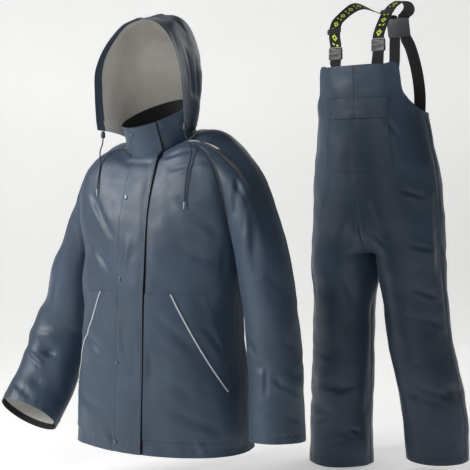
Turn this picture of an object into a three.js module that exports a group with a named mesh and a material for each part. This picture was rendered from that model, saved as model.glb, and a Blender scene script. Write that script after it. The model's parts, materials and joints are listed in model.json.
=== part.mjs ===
// A two-piece rain suit, filled out as worn: a hooded jacket and bib trousers with braces.
// Millimetres, +Z up. The origin is the middle of the jacket's neck seam.
// Each garment is drawn upright in its own frame (x to the wearer's left, y to the back) and then turned.

import * as THREE from "three";

// Cloth and seams
const CLOTH = 2;
const OVERLAY = 1.5;
const SEAM_GAP = 0.3;
const LIFT = 0.4;

// Where the two garments stand
const JACKET_TURN = -30;
const TROUSERS_TURN = -33;
const TROUSERS_PLACE = [645, 422, 0];

// Neck seam of the jacket: an oval, low at the front and high at the nape
const NECK = { halfWidth: 100, halfDepth: 86, centreY: 6, centreZ: 14, drop: 36, arch: 12 };
const FRONT_SEAM_ANGLE = 60;
const BACK_SEAM_ANGLE = 134;
const UNDERARM_Z = -285;
const HEM_Z = -790;

// Lines down the front, measured across from the wearer's middle
const ZIP = { right: 40, left: 52 };
const FLAP_LINES = [40, 12, -16, -44];
const ZIP_DRIFT = { by: 10, from: 0.7, to: 0.1 };

// Carriage: the wearer's left shoulder is held a little higher, and the right one is drawn in
const LEAN = { slope: 0.06, fadeFrom: -420, fadeTo: -60, collarFrom: 0, collarTo: 80 };
const HEM_IN = { by: 12, halfWidth: 250, fadeFrom: -520, fadeTo: -780 };
const DRAWN_IN = { by: 26, halfWidth: 250, fadeFrom: -360, fadeTo: -230 };

const SLATE = 0x2c3a47;
const BLACK = 0x17181b;
const GREY_PLASTIC = 0x6f7276;
const SILVER = 0xb9bec4;

const DEGREE = Math.PI / 180;
const CLOTH_POWER = 0.9;

const vec = (x, y, z) => new THREE.Vector3(x, y, z);
const mix = (a, b, t) => a + (b - a) * t;
const clamp = (v, lo, hi) => Math.min(hi, Math.max(lo, v));
const ease = (from, to, v) => {
  const t = clamp((v - from) / (to - from), 0, 1);
  return t * t * (3 - 2 * t);
};
const steps = (n) => Array.from({ length: n + 1 }, (_, i) => i / n);
const across = (t) => Math.sin(t * 90 * DEGREE) ** CLOTH_POWER;
const along = (t) => Math.max(0, Math.cos(t * 90 * DEGREE)) ** CLOTH_POWER;
const acrossInverse = (f) => Math.asin(clamp(f, 0, 1) ** (1 / CLOTH_POWER)) / (90 * DEGREE);

// A table with named columns, read smoothly between its rows; the first column is the key
function table(names, rows) {
  const last = rows.length - 1;
  const rising = rows[last][0] > rows[0][0];
  const slope = (c, j) => {
    const a = rows[Math.max(0, j - 1)];
    const b = rows[Math.min(last, j + 1)];
    return (b[c] - a[c]) / (b[0] - a[0]);
  };
  return (key) => {
    let i = 0;
    while (i < last - 1 && (rising ? key > rows[i + 1][0] : key < rows[i + 1][0])) i++;
    const h = rows[i + 1][0] - rows[i][0];
    const t = clamp((key - rows[i][0]) / h, 0, 1);
    const t2 = t * t;
    const t3 = t2 * t;
    const out = {};
    names.forEach((name, c) => {
      out[name] =
        rows[i][c] * (2 * t3 - 3 * t2 + 1) +
        rows[i + 1][c] * (3 * t2 - 2 * t3) +
        slope(c, i) * h * (t3 - 2 * t2 + t) +
        slope(c, i + 1) * h * (t3 - t2);
    });
    return out;
  };
}

// The largest folds: each is a soft trough (depth below 0) or ridge between two places on a garment
const FOLD_COLUMNS = ["x1", "y1", "z1", "x2", "y2", "z2", "width", "depth"];

function foldHeight(folds, p) {
  let height = 0;
  for (const row of folds) {
    const f = Object.fromEntries(FOLD_COLUMNS.map((name, i) => [name, row[i]]));
    const start = vec(f.x1, f.y1, f.z1);
    const run = vec(f.x2, f.y2, f.z2).sub(start);
    const t = clamp(p.clone().sub(start).dot(run) / run.lengthSq(), 0, 1);
    const distance = start.addScaledVector(run, t).distanceTo(p) / f.width;
    height += f.depth * Math.exp(-distance * distance) * (0.55 + 0.45 * Math.sin(Math.PI * t));
  }
  return height;
}

const sum = (grids) => grids.reduce((all, g) => all.concat(g), []);
const spot = (p) => [p.x, p.y, p.z].map((v) => Math.round(v * 200)).join(",");

// Sheets that are sewn to each other share one direction of thickness at every seam point.
// A sheet is { rows: [[Vector3]], flip, closed }: rows run down, columns run round.
function shareNormals(sheets) {
  const shared = new Map();
  for (const sheet of sheets) {
    const { rows } = sheet;
    const nu = rows[0].length;
    const span = sheet.closed ? nu : nu - 1;
    sheet.own = rows.map((row) => row.map(() => vec(0, 0, 0)));
    for (let j = 0; j + 1 < rows.length; j++) {
      for (let i = 0; i < span; i++) {
        const k = (i + 1) % nu;
        const diagonal = rows[j + 1][k].clone().sub(rows[j][i]);
        const other = rows[j + 1][i].clone().sub(rows[j][k]);
        const n = other.cross(diagonal).multiplyScalar(sheet.flip ? -1 : 1);
        const size = n.length();
        if (size < 1e-6) continue;
        n.divideScalar(Math.sqrt(size));
        for (const [a, b] of [[j, i], [j, k], [j + 1, i], [j + 1, k]]) sheet.own[a][b].add(n);
      }
    }
    rows.forEach((row, j) =>
      row.forEach((p, i) => {
        const own = sheet.own[j][i].normalize();
        const key = spot(p);
        if (!shared.has(key)) shared.set(key, { total: vec(0, 0, 0), each: [] });
        shared.get(key).total.add(own);
        shared.get(key).each.push(own);
      }),
    );
  }
  for (const entry of shared.values()) {
    entry.total.normalize();
    const lean = entry.each.reduce((s, n) => s + n.dot(entry.total), 0) / entry.each.length;
    entry.mitre = entry.total.clone().divideScalar(Math.max(0.6, lean));
  }
  for (const sheet of sheets) {
    sheet.thick = sheet.rows.map((row) => row.map((p) => shared.get(spot(p)).mitre));
  }
}

// Draws a sheet's edges back from its seams by half the gap
function pullBack(sheet, rows) {
  const nu = rows[0].length;
  const nv = rows.length;
  const shift = rows.map((row) => row.map(() => vec(0, 0, 0)));
  const draw = (j, i, jIn, iIn, jA, iA, jB, iB) => {
    const tangent = rows[jB][iB].clone().sub(rows[jA][iA]);
    const inward = rows[jIn][iIn].clone().sub(rows[j][i]);
    const g = tangent.cross(sheet.thick[j][i]).normalize();
    if (g.dot(inward) < 0) g.negate();
    shift[j][i].addScaledVector(g, SEAM_GAP / 2);
  };
  for (let i = 0; i < nu; i++) {
    const before = sheet.closed ? (i + nu - 1) % nu : Math.max(0, i - 1);
    const after = sheet.closed ? (i + 1) % nu : Math.min(nu - 1, i + 1);
    draw(0, i, 1, i, 0, before, 0, after);
    draw(nv - 1, i, nv - 2, i, nv - 1, before, nv - 1, after);
  }
  if (!sheet.closed) {
    for (let j = 0; j < nv; j++) {
      const before = Math.max(0, j - 1);
      const after = Math.min(nv - 1, j + 1);
      draw(j, 0, j, 1, before, 0, after, 0);
      draw(j, nu - 1, j, nu - 2, before, nu - 1, after, nu - 1);
    }
  }
  return rows.map((row, j) => row.map((p, i) => p.clone().add(shift[j][i])));
}

// A closed wall between a sheet lifted by `low` and the same sheet lifted by `high`
function wall(sheet, low, high) {
  const base = pullBack(sheet, sheet.rows);
  const offset = (d) => base.map((row, j) => row.map((p, i) => p.clone().addScaledVector(sheet.thick[j][i], d)));
  const layers = [offset(high), offset(low)];
  const nv = base.length;
  const nu = base[0].length;
  const points = sum(layers.map((g) => sum(g)));
  const at = (layer, j, i) => layer * nu * nv + j * nu + (i % nu);
  const faces = [];
  const quad = (a, b, c, d) => {
    const [p, q, r, s] = sheet.flip ? [d, c, b, a] : [a, b, c, d];
    if (points[p].distanceTo(points[r]) <= points[q].distanceTo(points[s])) faces.push(p, q, r, p, r, s);
    else faces.push(p, q, s, q, r, s);
  };
  const span = sheet.closed ? nu : nu - 1;
  for (let j = 0; j + 1 < nv; j++) {
    for (let i = 0; i < span; i++) {
      quad(at(0, j, i), at(0, j + 1, i), at(0, j + 1, i + 1), at(0, j, i + 1));
      quad(at(1, j, i), at(1, j, i + 1), at(1, j + 1, i + 1), at(1, j + 1, i));
    }
  }
  for (let i = 0; i < span; i++) {
    quad(at(0, 0, i), at(0, 0, i + 1), at(1, 0, i + 1), at(1, 0, i));
    quad(at(0, nv - 1, i), at(1, nv - 1, i), at(1, nv - 1, i + 1), at(0, nv - 1, i + 1));
  }
  if (!sheet.closed) {
    for (let j = 0; j + 1 < nv; j++) {
      quad(at(0, j, 0), at(1, j, 0), at(1, j + 1, 0), at(0, j + 1, 0));
      quad(at(0, j, nu - 1), at(0, j + 1, nu - 1), at(1, j + 1, nu - 1), at(1, j, nu - 1));
    }
  }
  const geometry = new THREE.BufferGeometry();
  geometry.setAttribute("position", new THREE.Float32BufferAttribute(sum(points.map((p) => [p.x, p.y, p.z])), 3));
  geometry.setIndex(faces);
  geometry.computeVertexNormals();
  return geometry;
}

const material = (color, roughness, metalness) => new THREE.MeshStandardMaterial({ color, roughness, metalness });
const coatedCloth = material(SLATE, 0.5, 0);
const webbing = material(BLACK, 0.8, 0);
const greyPlastic = material(GREY_PLASTIC, 0.45, 0);
const reflective = material(SILVER, 0.35, 0.2);
const paintedMetal = material(0x3d4b59, 0.4, 0.6);
const cordNavy = material(0x1b2433, 0.8, 0);
const tipPlastic = material(0xa9adb0, 0.4, 0);

const jacket = new THREE.Group();
jacket.rotation.z = JACKET_TURN * DEGREE;
const trousers = new THREE.Group();
trousers.rotation.z = TROUSERS_TURN * DEGREE;
trousers.position.set(...TROUSERS_PLACE);

function add(group, name, geometry, finish) {
  const mesh = new THREE.Mesh(geometry, finish);
  mesh.name = name;
  group.add(mesh);
  return mesh;
}

// Jacket body

const neckPoint = (angle) => {
  const c = Math.cos(angle * DEGREE);
  const s = Math.sin(angle * DEGREE);
  return vec(
    NECK.halfWidth * s,
    NECK.centreY - NECK.halfDepth * c,
    NECK.centreZ - NECK.drop * c + NECK.arch * s * s,
  );
};

// From the neck (q 0) to the underarm (q 1): where the raglan seams run, and the middle of front and back
const yoke = table(
  ["q", "fx", "fy", "fz", "bx", "by", "bz", "cfy", "cfz", "cby", "cbz"],
  [
    [0, 86.6, -37, 5, 71.9, 65.7, 45.2, -80, -22, 92, 50],
    [0.15, 138, -50, 4, 125, 78, 24, -96, -60, 118, 20],
    [0.3, 180, -62, -20, 172, 88, -10, -108, -95, 134, -20],
    [0.45, 211, -72, -56, 212, 92, -55, -117, -130, 146, -65],
    [0.6, 228, -72, -104, 234, 88, -108, -124, -168, 156, -115],
    [0.75, 236, -62, -155, 242, 76, -165, -130, -205, 163, -170],
    [0.9, 240, -36, -220, 245, 50, -228, -135, -250, 169, -230],
    [1, 240, 15, UNDERARM_Z, 240, 15, UNDERARM_Z, -138, UNDERARM_Z, 172, UNDERARM_Z],
  ],
);

// Below the underarm: half width, and how far the front, sides and back stand from the middle
const trunk = table(
  ["z", "side", "sideY", "front", "back"],
  [
    [UNDERARM_Z, 240, 15, -138, 172],
    [-367, 236, 15, -144, 171],
    [-434, 229, 14, -147, 167],
    [-505, 233, 14, -149, 168],
    [-574, 242, 14, -151, 172],
    [-661, 254, 13, -154, 179],
    [-779, 262, 12, -157, 184],
    [HEM_Z, 264, 12, -158, 185],
  ],
);

const JACKET_FOLDS = [
  // front, beside the storm flap and at the pockets
  [70, -140, -300, 120, -120, -395, 26, -5],
  [-90, -135, -330, -150, -105, -420, 24, -5],
  [212, -62, -470, 236, -40, -640, 30, 4],
  [-212, -62, -470, -236, -40, -620, 30, -4],
  // back
  [60, 165, -240, 150, 130, -380, 34, -6],
  [-60, 165, -260, -150, 130, -400, 34, -6],
  [0, 170, -420, 120, 140, -560, 34, 5],
  [-20, 175, -560, -150, 130, -680, 36, -5],
];

function lean(p) {
  const body = ease(LEAN.fadeFrom, LEAN.fadeTo, p.z);
  const collar = ease(LEAN.collarFrom, LEAN.collarTo, p.z);
  p.z += LEAN.slope * p.x * (body + collar);
  const drawn = clamp(-p.x / DRAWN_IN.halfWidth, 0, 1) * ease(DRAWN_IN.fadeFrom, DRAWN_IN.fadeTo, p.z);
  p.x += DRAWN_IN.by * drawn ** 2;
  p.x += HEM_IN.by * clamp(-p.x / HEM_IN.halfWidth, 0, 1) ** 2 * ease(HEM_IN.fadeFrom, HEM_IN.fadeTo, p.z);
  return p;
}

// A place on the jacket's body, before it is leaned: row q down the front or back, x across
function bodyPoint(q, x, isFront) {
  let side;
  let middle;
  if (q < 1) {
    const s = yoke(q);
    side = isFront ? [s.fx, s.fy, s.fz] : [s.bx, s.by, s.bz];
    middle = isFront ? [s.cfy, s.cfz] : [s.cby, s.cbz];
  } else {
    const z = mix(UNDERARM_Z, HEM_Z, q - 1);
    const s = trunk(z);
    side = [s.side, s.sideY, z];
    middle = [isFront ? s.front : s.back, z];
  }
  const f = clamp(Math.abs(x) / side[0], 0, 1);
  const bow = 1 - along(acrossInverse(f));
  const p = vec(x, mix(middle[0], side[1], bow), mix(middle[1], side[2], f ** 1.5));
  const onNeck = Math.max(0, 1 - q / 0.15) ** 2;
  if (onNeck > 0) {
    const angle = Math.asin(clamp(x / NECK.halfWidth, -1, 1)) / DEGREE;
    p.lerp(neckPoint(isFront ? angle : 180 - angle), onNeck);
  }
  if (q > 1) {
    const outward = vec(p.x, p.y - side[1], 0).normalize();
    p.addScaledVector(outward, foldHeight(JACKET_FOLDS, p) * ease(1, 1.1, q));
  }
  return p;
}

const sideOf = (q, isFront) => {
  if (q >= 1) return trunk(mix(UNDERARM_Z, HEM_Z, q - 1)).side;
  return isFront ? yoke(q).fx : yoke(q).bx;
};

const YOKE_ROWS = 8;
const yokeRows = steps(YOKE_ROWS);
const TRUNK_HEIGHTS = [-331, -376, -426, -476, -526, -576, -626, -667, -708, -750, HEM_Z];
const bodyRows = yokeRows.concat(TRUNK_HEIGHTS.map((z) => 1 + (UNDERARM_Z - z) / (UNDERARM_Z - HEM_Z)));

// Lower pockets: a patch whose outer edge slants outward from its top to its foot, and the facing beside it.
// Each line is measured across from the wearer's middle.
const POCKET = {
  top: -376,
  foot: -626,
  left: { slant: [119, 238], corner: [194, 245] },
  right: { slant: [99, 218], corner: [176, 236] },
};
const PATCH_COLUMNS = 5;
const FACING_COLUMNS = 2;
const SIDE_COLUMNS = 2;

// x places across a front, from its zip edge to its side: the named lines, the pocket's slant and the side
function frontColumns(q, straight, side) {
  const lines = straight.map((x) => x + ZIP_DRIFT.by * ease(ZIP_DRIFT.from, ZIP_DRIFT.to, q));
  const height = clamp(q < 1 ? UNDERARM_Z : mix(UNDERARM_Z, HEM_Z, q - 1), POCKET.foot, POCKET.top);
  const fall = (POCKET.top - height) / (POCKET.top - POCKET.foot);
  const last = Math.abs(lines.at(-1));
  const share = (width, x) => {
    const start = acrossInverse(Math.abs(straight.at(-1)) / width);
    return (acrossInverse(x / width) - start) / (1 - start);
  };
  const width = trunk(height).side;
  const slant = share(width, mix(...POCKET[side].slant, fall));
  const corner = share(width, mix(...POCKET[side].corner, fall));
  const stops = [
    ...steps(PATCH_COLUMNS).slice(1).map((t) => t * slant),
    ...steps(FACING_COLUMNS).slice(1).map((t) => mix(slant, corner, t)),
    ...steps(SIDE_COLUMNS).slice(1).map((t) => mix(corner, 1, t)),
  ];
  const here = sideOf(q, true);
  const start = acrossInverse(last / here);
  const sign = side === "left" ? 1 : -1;
  return lines.concat(stops.map((t) => sign * (t === 1 ? here : here * across(mix(start, 1, t)))));
}

const backColumns = (q) => {
  const side = sideOf(q, false);
  return steps(14).map((t) => {
    const u = 2 * t - 1;
    return Math.abs(u) === 1 ? side * u : side * Math.sign(u) * across(Math.abs(u));
  });
};

const gridOf = (rows, columnsAt, isFront) =>
  rows.map((q) => columnsAt(q).map((x) => lean(bodyPoint(q, x, isFront))));

const frontLeft = { rows: gridOf(bodyRows, (q) => frontColumns(q, [ZIP.left], "left"), true) };
const frontRight = { rows: gridOf(bodyRows, (q) => frontColumns(q, FLAP_LINES, "right"), true), flip: true };
const back = { rows: gridOf(bodyRows, backColumns, false), flip: true };

// Sleeves

// Down each arm: the middle of the sleeve, its half width and half depth, how far the flat of it turns,
// and how much further down its back reaches
const ARM_COLUMNS = ["s", "x", "y", "z", "wide", "deep", "turn", "tilt"];
const ARMS = {
  left: table(ARM_COLUMNS, [
    [0, 323, 3, -335, 69, 74, 0, 0],
    [0.15, 333, 3, -395, 68, 73, 0, 0],
    [0.3, 343, 0, -452, 70, 73, 0, 0],
    [0.45, 351, -2, -512, 71, 73, 0, 0],
    [0.65, 358, -6, -600, 72, 73, 0, 0],
    [0.85, 362, -10, -685, 72, 73, 0, 0],
    [1, 365, -13, -743, 73, 73, 0, 0],
  ]),
  right: table(ARM_COLUMNS, [
    [0, -315, 36, -340, 68, 76, 0, 0],
    [0.15, -332, 46, -400, 72, 74, 8, 0],
    [0.3, -352, 53, -450, 78, 70, 18, 0],
    [0.45, -374, 52, -500, 84, 66, 28, 0],
    [0.65, -387, 30, -565, 86, 60, 30, 0],
    [0.85, -396, -10, -648, 86, 58, 30, 10],
    [1, -410, -66, -732, 86, 57, 30, 30],
  ]),
};

const SLEEVE_FOLDS = {
  left: [
    [280, -90, -200, 262, -55, -300, 16, -12],
    [306, -80, -150, 290, -75, -300, 18, 9],
    [330, -75, -190, 335, -75, -330, 14, -9],
    [300, -70, -500, 395, -45, -545, 13, -9],
    [345, -80, -545, 420, -20, -570, 14, -8],
    [400, 40, -420, 300, 70, -520, 18, -7],
    [420, 10, -620, 320, 70, -650, 20, -6],
  ],
  right: [
    [-290, -60, -190, -270, -30, -300, 18, -10],
    [-450, -5, -520, -320, -30, -530, 17, 9],
    [-460, -10, -560, -320, -40, -572, 11, -15],
    [-460, -30, -625, -380, -70, -650, 14, -7],
    [-420, 100, -420, -320, 120, -480, 20, -7],
    [-440, 60, -600, -340, 80, -640, 18, -6],
  ],
};

const SHOULDER_STEPS = 6;
const ARM_STEPS = 12;
const NECK_ARC_STEPS = 4;
const TOP_ANGLE = 24;

// The sleeve's sewn end, round from the front of the neck by the underarm and the back of the neck
function armholeRing(sign) {
  const seam = (isFront) => yokeRows.map((q) => bodyPoint(q, sign * sideOf(q, isFront), isFront));
  const arc = steps(NECK_ARC_STEPS).slice(1, -1).map((t) => {
    const p = neckPoint(mix(BACK_SEAM_ANGLE, FRONT_SEAM_ANGLE, t));
    return vec(sign * p.x, p.y, p.z);
  });
  return seam(true).concat(seam(false).reverse().slice(1), arc);
}

// Angles round the arm for the ring's points: 0 on the outside, 90 to the front, 180 inside
function ringAngles(ring) {
  const neckFrom = 2 * YOKE_ROWS;
  const travel = [0];
  for (let i = 1; i <= neckFrom; i++) travel.push(travel[i - 1] + ring[i].distanceTo(ring[i - 1]));
  const half = travel[YOKE_ROWS];
  const angles = travel.map((d, i) =>
    i <= YOKE_ROWS
      ? mix(TOP_ANGLE, 180, d / half)
      : mix(180, 360 - TOP_ANGLE, (d - half) / (travel[neckFrom] - half)),
  );
  for (let k = 1; k < NECK_ARC_STEPS; k++) {
    angles.push(mix(360 - TOP_ANGLE, 360 + TOP_ANGLE, k / NECK_ARC_STEPS));
  }
  return angles;
}

function armFrame(arm, s, sign) {
  const here = arm(s);
  const before = arm(Math.max(0, s - 0.02));
  const after = arm(Math.min(1, s + 0.02));
  const down = vec(after.x - before.x, after.y - before.y, after.z - before.z).normalize();
  const turn = here.turn * DEGREE;
  const outer = vec(sign * Math.cos(turn), -Math.sin(turn), 0);
  outer.addScaledVector(down, -outer.dot(down)).normalize();
  const front = vec(0, 0, 0).crossVectors(down, outer).normalize();
  if (front.y > 0) front.negate();
  return { centre: vec(here.x, here.y, here.z), down, outer, front, ...here };
}

function armPoint(arm, s, angle, sign, folds) {
  const f = armFrame(arm, s, sign);
  const c = Math.cos(angle * DEGREE);
  const n = Math.sin(angle * DEGREE);
  const spoke = vec(0, 0, 0).addScaledVector(f.outer, f.wide * c).addScaledVector(f.front, f.deep * n);
  const p = f.centre.clone().add(spoke).addScaledVector(f.down, (f.tilt * (1 - n)) / 2);
  return p.addScaledVector(spoke.normalize(), foldHeight(folds, p) * ease(0, 0.08, s));
}

function sleeveSheet(side) {
  const sign = side === "left" ? 1 : -1;
  const arm = ARMS[side];
  const folds = SLEEVE_FOLDS[side];
  const ring = armholeRing(sign);
  const angles = ringAngles(ring);
  const { down } = armFrame(arm, 0, sign);
  const out = vec(sign, 0, 0.3).normalize();
  const rows = steps(SHOULDER_STEPS).map((t) =>
    ring.map((start, i) => {
      if (t === 0) return start.clone();
      const end = armPoint(arm, 0, angles[i], sign, folds);
      const reach = start.distanceTo(end);
      const towards = end.clone().sub(start).normalize();
      const under = (1 - Math.cos((angles[i] % 360) * DEGREE)) / 2;
      const leave = out.clone().lerp(towards, under ** 0.6).normalize();
      const p = new THREE.CubicBezierCurve3(
        start,
        start.clone().addScaledVector(leave, reach * 0.3),
        end.clone().addScaledVector(down, -reach * 0.42),
        end,
      ).getPoint(t);
      const outward = vec(p.x - sign * 190, p.y, p.z + 260).normalize();
      return p.addScaledVector(outward, foldHeight(folds, p) * ease(0, 0.35, t) * ease(1.15, 0.8, t));
    }),
  );
  for (const t of steps(ARM_STEPS).slice(1)) {
    rows.push(angles.map((angle) => armPoint(arm, t, angle, sign, folds)));
  }
  return { rows: rows.map((row) => row.map(lean)), closed: true, flip: sign > 0 };
}

const sleeveLeft = sleeveSheet("left");
const sleeveRight = sleeveSheet("right");

// Collar: stands on the neck seam, its top edge low in front and leaning forward
const COLLAR_TOP = { halfWidth: 92, halfDepth: 93, centreY: -18, centreZ: 104, rise: 0.45 };
const COLLAR_ROWS = 3;

function neckEdge() {
  const arc = (sheet) => {
    const ring = sheet.rows[0];
    return ring.slice(2 * YOKE_ROWS).concat([ring[0]]);
  };
  const leftArc = arc(sleeveLeft).reverse();
  const rightArc = arc(sleeveRight);
  const backRow = back.rows[0].slice().reverse();
  return frontLeft.rows[0].concat(
    leftArc.slice(1),
    backRow.slice(1),
    rightArc.slice(1),
    frontRight.rows[0].slice().reverse().slice(1),
  );
}

function collarPoint(base, t) {
  const angle = Math.atan2(base.x / NECK.halfWidth, -(base.y - NECK.centreY) / NECK.halfDepth);
  const y = COLLAR_TOP.centreY - COLLAR_TOP.halfDepth * Math.cos(angle);
  const top = vec(COLLAR_TOP.halfWidth * Math.sin(angle), y, COLLAR_TOP.centreZ + COLLAR_TOP.rise * y);
  top.z += LEAN.slope * 2 * top.x;
  const p = base.clone().lerp(top, t);
  const inward = vec(-Math.sin(angle), Math.cos(angle), 0);
  return p.addScaledVector(inward, 3 * Math.sin(Math.PI * t));
}

const collarEdge = neckEdge();
const collar = { rows: steps(COLLAR_ROWS).reverse().map((t) => collarEdge.map((p) => collarPoint(p, t))) };

// Zip: from the collar's top edge to the hem
const frontEdge = (sheet) => sheet.rows.slice(1).map((row) => row[0]);
const zipLeft = collar.rows.map((row) => row[0]).concat(frontEdge(frontLeft));
const zipRight = collar.rows.map((row) => row.at(-1)).concat(frontEdge(frontRight));
const zip = { rows: zipLeft.map((p, j) => [zipRight[j], p]) };

shareNormals([frontLeft, frontRight, back, sleeveLeft, sleeveRight, collar, zip]);

add(jacket, "jacket_front_left", wall(frontLeft, -CLOTH, 0), coatedCloth);
add(jacket, "jacket_front_right", wall(frontRight, -CLOTH, 0), coatedCloth);
add(jacket, "jacket_back", wall(back, -CLOTH, 0), coatedCloth);
add(jacket, "jacket_sleeve_left", wall(sleeveLeft, -CLOTH, 0), coatedCloth);
add(jacket, "jacket_sleeve_right", wall(sleeveRight, -CLOTH, 0), coatedCloth);
add(jacket, "jacket_collar", wall(collar, -CLOTH, 0), coatedCloth);
add(jacket, "jacket_zip", wall(zip, -CLOTH, 0), material(BLACK, 0.6, 0));

// What lies on the jacket

// A sheet of points and thickness directions taken from other sheets
const part = (sheet, rowFrom, rowTo, columnFrom, columnTo) => ({
  rows: sheet.rows.slice(rowFrom, rowTo).map((row) => row.slice(columnFrom, columnTo)),
  thick: sheet.thick.slice(rowFrom, rowTo).map((row) => row.slice(columnFrom, columnTo)),
  flip: sheet.flip,
});

const FLAP_COLUMNS = FLAP_LINES.length;

function stormFlap() {
  const onCollar = part(collar, 0, COLLAR_ROWS, -FLAP_COLUMNS);
  const onFront = part(frontRight, 0, bodyRows.length, 0, FLAP_COLUMNS);
  return {
    rows: onCollar.rows.map((row) => row.slice().reverse()).concat(onFront.rows),
    thick: onCollar.thick.map((row) => row.slice().reverse()).concat(onFront.thick),
    flip: true,
  };
}

const flap = stormFlap();
add(jacket, "jacket_storm_flap", wall(flap, LIFT, LIFT + OVERLAY), coatedCloth);

const SNAP = { radius: 6.5, height: 2.4, crown: 4.6, sides: 14 };

// A snap cap on a sheet's face, `lift` above the sheet
function snap(place, outward, lift, size = SNAP) {
  const profile = [
    [0, 0],
    [size.radius, 0],
    [size.radius, size.height * 0.45],
    [size.crown, size.height],
    [0, size.height],
  ].map(([x, y]) => new THREE.Vector2(x, y));
  const cap = new THREE.LatheGeometry(profile, size.sides);
  const turn = new THREE.Quaternion().setFromUnitVectors(vec(0, 1, 0), outward);
  const seat = place.clone().addScaledVector(outward, lift + LIFT);
  cap.applyMatrix4(new THREE.Matrix4().makeRotationFromQuaternion(turn).setPosition(seat));
  return cap;
}

// The middle of one of the faces in a sheet, and the way it faces
function faceMiddle(sheet, j, i) {
  const corners = [[j, i], [j, i + 1], [j + 1, i], [j + 1, i + 1]];
  const middle = vec(0, 0, 0);
  const outward = vec(0, 0, 0);
  for (const [a, b] of corners) {
    middle.addScaledVector(sheet.rows[a][b], 0.25);
    outward.add(sheet.thick[a][b]);
  }
  return { middle, outward: outward.normalize() };
}

// Places of the flap's snaps, counted in rows down it and in columns across it
const FLAP_SNAPS = [[0.65, 2.5], [6.66, 2.5], [12.22, 2.5], [16.64, 2.7], [21.35, 2.76]];

function onSheet(sheet, row, column) {
  const j = Math.floor(row);
  const i = Math.floor(column);
  const blend = (grid) => {
    const above = grid[j][i].clone().lerp(grid[j][i + 1], column - i);
    const below = grid[j + 1][i].clone().lerp(grid[j + 1][i + 1], column - i);
    return above.lerp(below, row - j);
  };
  return { middle: blend(sheet.rows), outward: faceMiddle(sheet, j, i).outward };
}

for (const [n, place] of FLAP_SNAPS.entries()) {
  const { middle, outward } = onSheet(flap, ...place);
  add(jacket, `jacket_flap_snap_${n + 1}`, snap(middle, outward, LIFT + OVERLAY), paintedMetal);
}
const collarStud = faceMiddle(collar, 0, 1);
add(jacket, "jacket_collar_snap", snap(collarStud.middle, collarStud.outward, 0), paintedMetal);

// Lower pockets, made on the fronts' own points
const POCKET_ROW = bodyRows.length - TRUNK_HEIGHTS.length + TRUNK_HEIGHTS.indexOf(POCKET.top);
const FOOT_ROW = bodyRows.length - TRUNK_HEIGHTS.length + TRUNK_HEIGHTS.indexOf(POCKET.foot);
const PIPING = { halfWidth: 2.6, low: 2.7, high: 3.7 };
const RIVET = { radius: 4.5, height: 2, crown: 3, sides: 10 };
const OVER_PATCH = LIFT + OVERLAY + LIFT;

// A narrow sheet along one column of another sheet
function stripe(sheet, rowFrom, rowTo, column, halfWidth) {
  const rows = [];
  const thick = [];
  for (let j = rowFrom; j < rowTo; j++) {
    const p = sheet.rows[j][column];
    const towards = (i) => {
      const q = sheet.rows[j][i];
      const t = halfWidth / p.distanceTo(q);
      return [p.clone().lerp(q, t), sheet.thick[j][column].clone().lerp(sheet.thick[j][i], t)];
    };
    const before = towards(column - 1);
    const after = towards(column + 1);
    rows.push([before[0], p, after[0]]);
    thick.push([before[1], sheet.thick[j][column], after[1]]);
  }
  return { rows, thick, flip: sheet.flip };
}

for (const [side, front, first] of [["left", frontLeft, 0], ["right", frontRight, FLAP_LINES.length - 1]]) {
  const slant = first + PATCH_COLUMNS;
  const patch = part(front, POCKET_ROW, bodyRows.length - 1, first, slant + 1);
  add(jacket, `jacket_pocket_${side}`, wall(patch, LIFT, LIFT + OVERLAY), coatedCloth);
  const facing = part(front, POCKET_ROW, FOOT_ROW + 1, slant, slant + FACING_COLUMNS + 1);
  add(jacket, `jacket_pocket_facing_${side}`, wall(facing, LIFT, LIFT + 1), coatedCloth);
  const piping = stripe(front, POCKET_ROW, FOOT_ROW + 1, slant, PIPING.halfWidth);
  add(jacket, `jacket_pocket_piping_${side}`, wall(piping, PIPING.low, PIPING.high), reflective);
  const end = front.rows[FOOT_ROW][slant].clone().lerp(front.rows[FOOT_ROW + 1][slant], 0.2);
  const outward = front.thick[FOOT_ROW][slant].clone().normalize();
  add(jacket, `jacket_pocket_rivet_${side}`, snap(end, outward, LIFT + OVERLAY + 0.5, RIVET), paintedMetal);
}

// Hood: two halves sewn over the crown and down the back, standing on the outside of the collar's foot
const HOOD_SEAT = { up: 0.13, out: 0.4, fade: 0.3 };
const hoodSection = table(
  ["v", "faceX", "faceY", "faceZ", "sideX", "sideY", "sideZ", "backY", "backZ"],
  [
    [0, 139, -91, 58, 103, 6, 36, 95, 59],
    [0.15, 138, -98, 95, 113, -6, 78, 104, 90],
    [0.35, 136, -106, 152, 119, -10, 140, 112, 150],
    [0.55, 131, -109, 210, 117, -10, 205, 112, 210],
    [0.7, 112, -108, 256, 108, -10, 262, 104, 262],
    [0.82, 86, -106, 293, 88, -8, 312, 90, 302],
    [0.92, 51, -104, 322, 57, -5, 346, 72, 330],
    [1, 0, -102, 338, 0, 0, 364, 52, 342],
  ],
);
const HOOD_STRAIGHT = 0.4;
const HOOD_LEAN = 0.05;

// Where the hood's lower edge is sewn: on the collar's outside, t from its side (0) round to its back (1)
function hoodSeat(t, sign) {
  const foot = neckPoint(mix(90, 180, t));
  foot.x *= sign;
  const p = collarPoint(lean(foot), HOOD_SEAT.up);
  p.addScaledVector(vec(p.x, p.y - NECK.centreY, 0).normalize(), CLOTH + HOOD_SEAT.out);
  if (t === 1) p.x = 0;
  return p;
}

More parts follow.
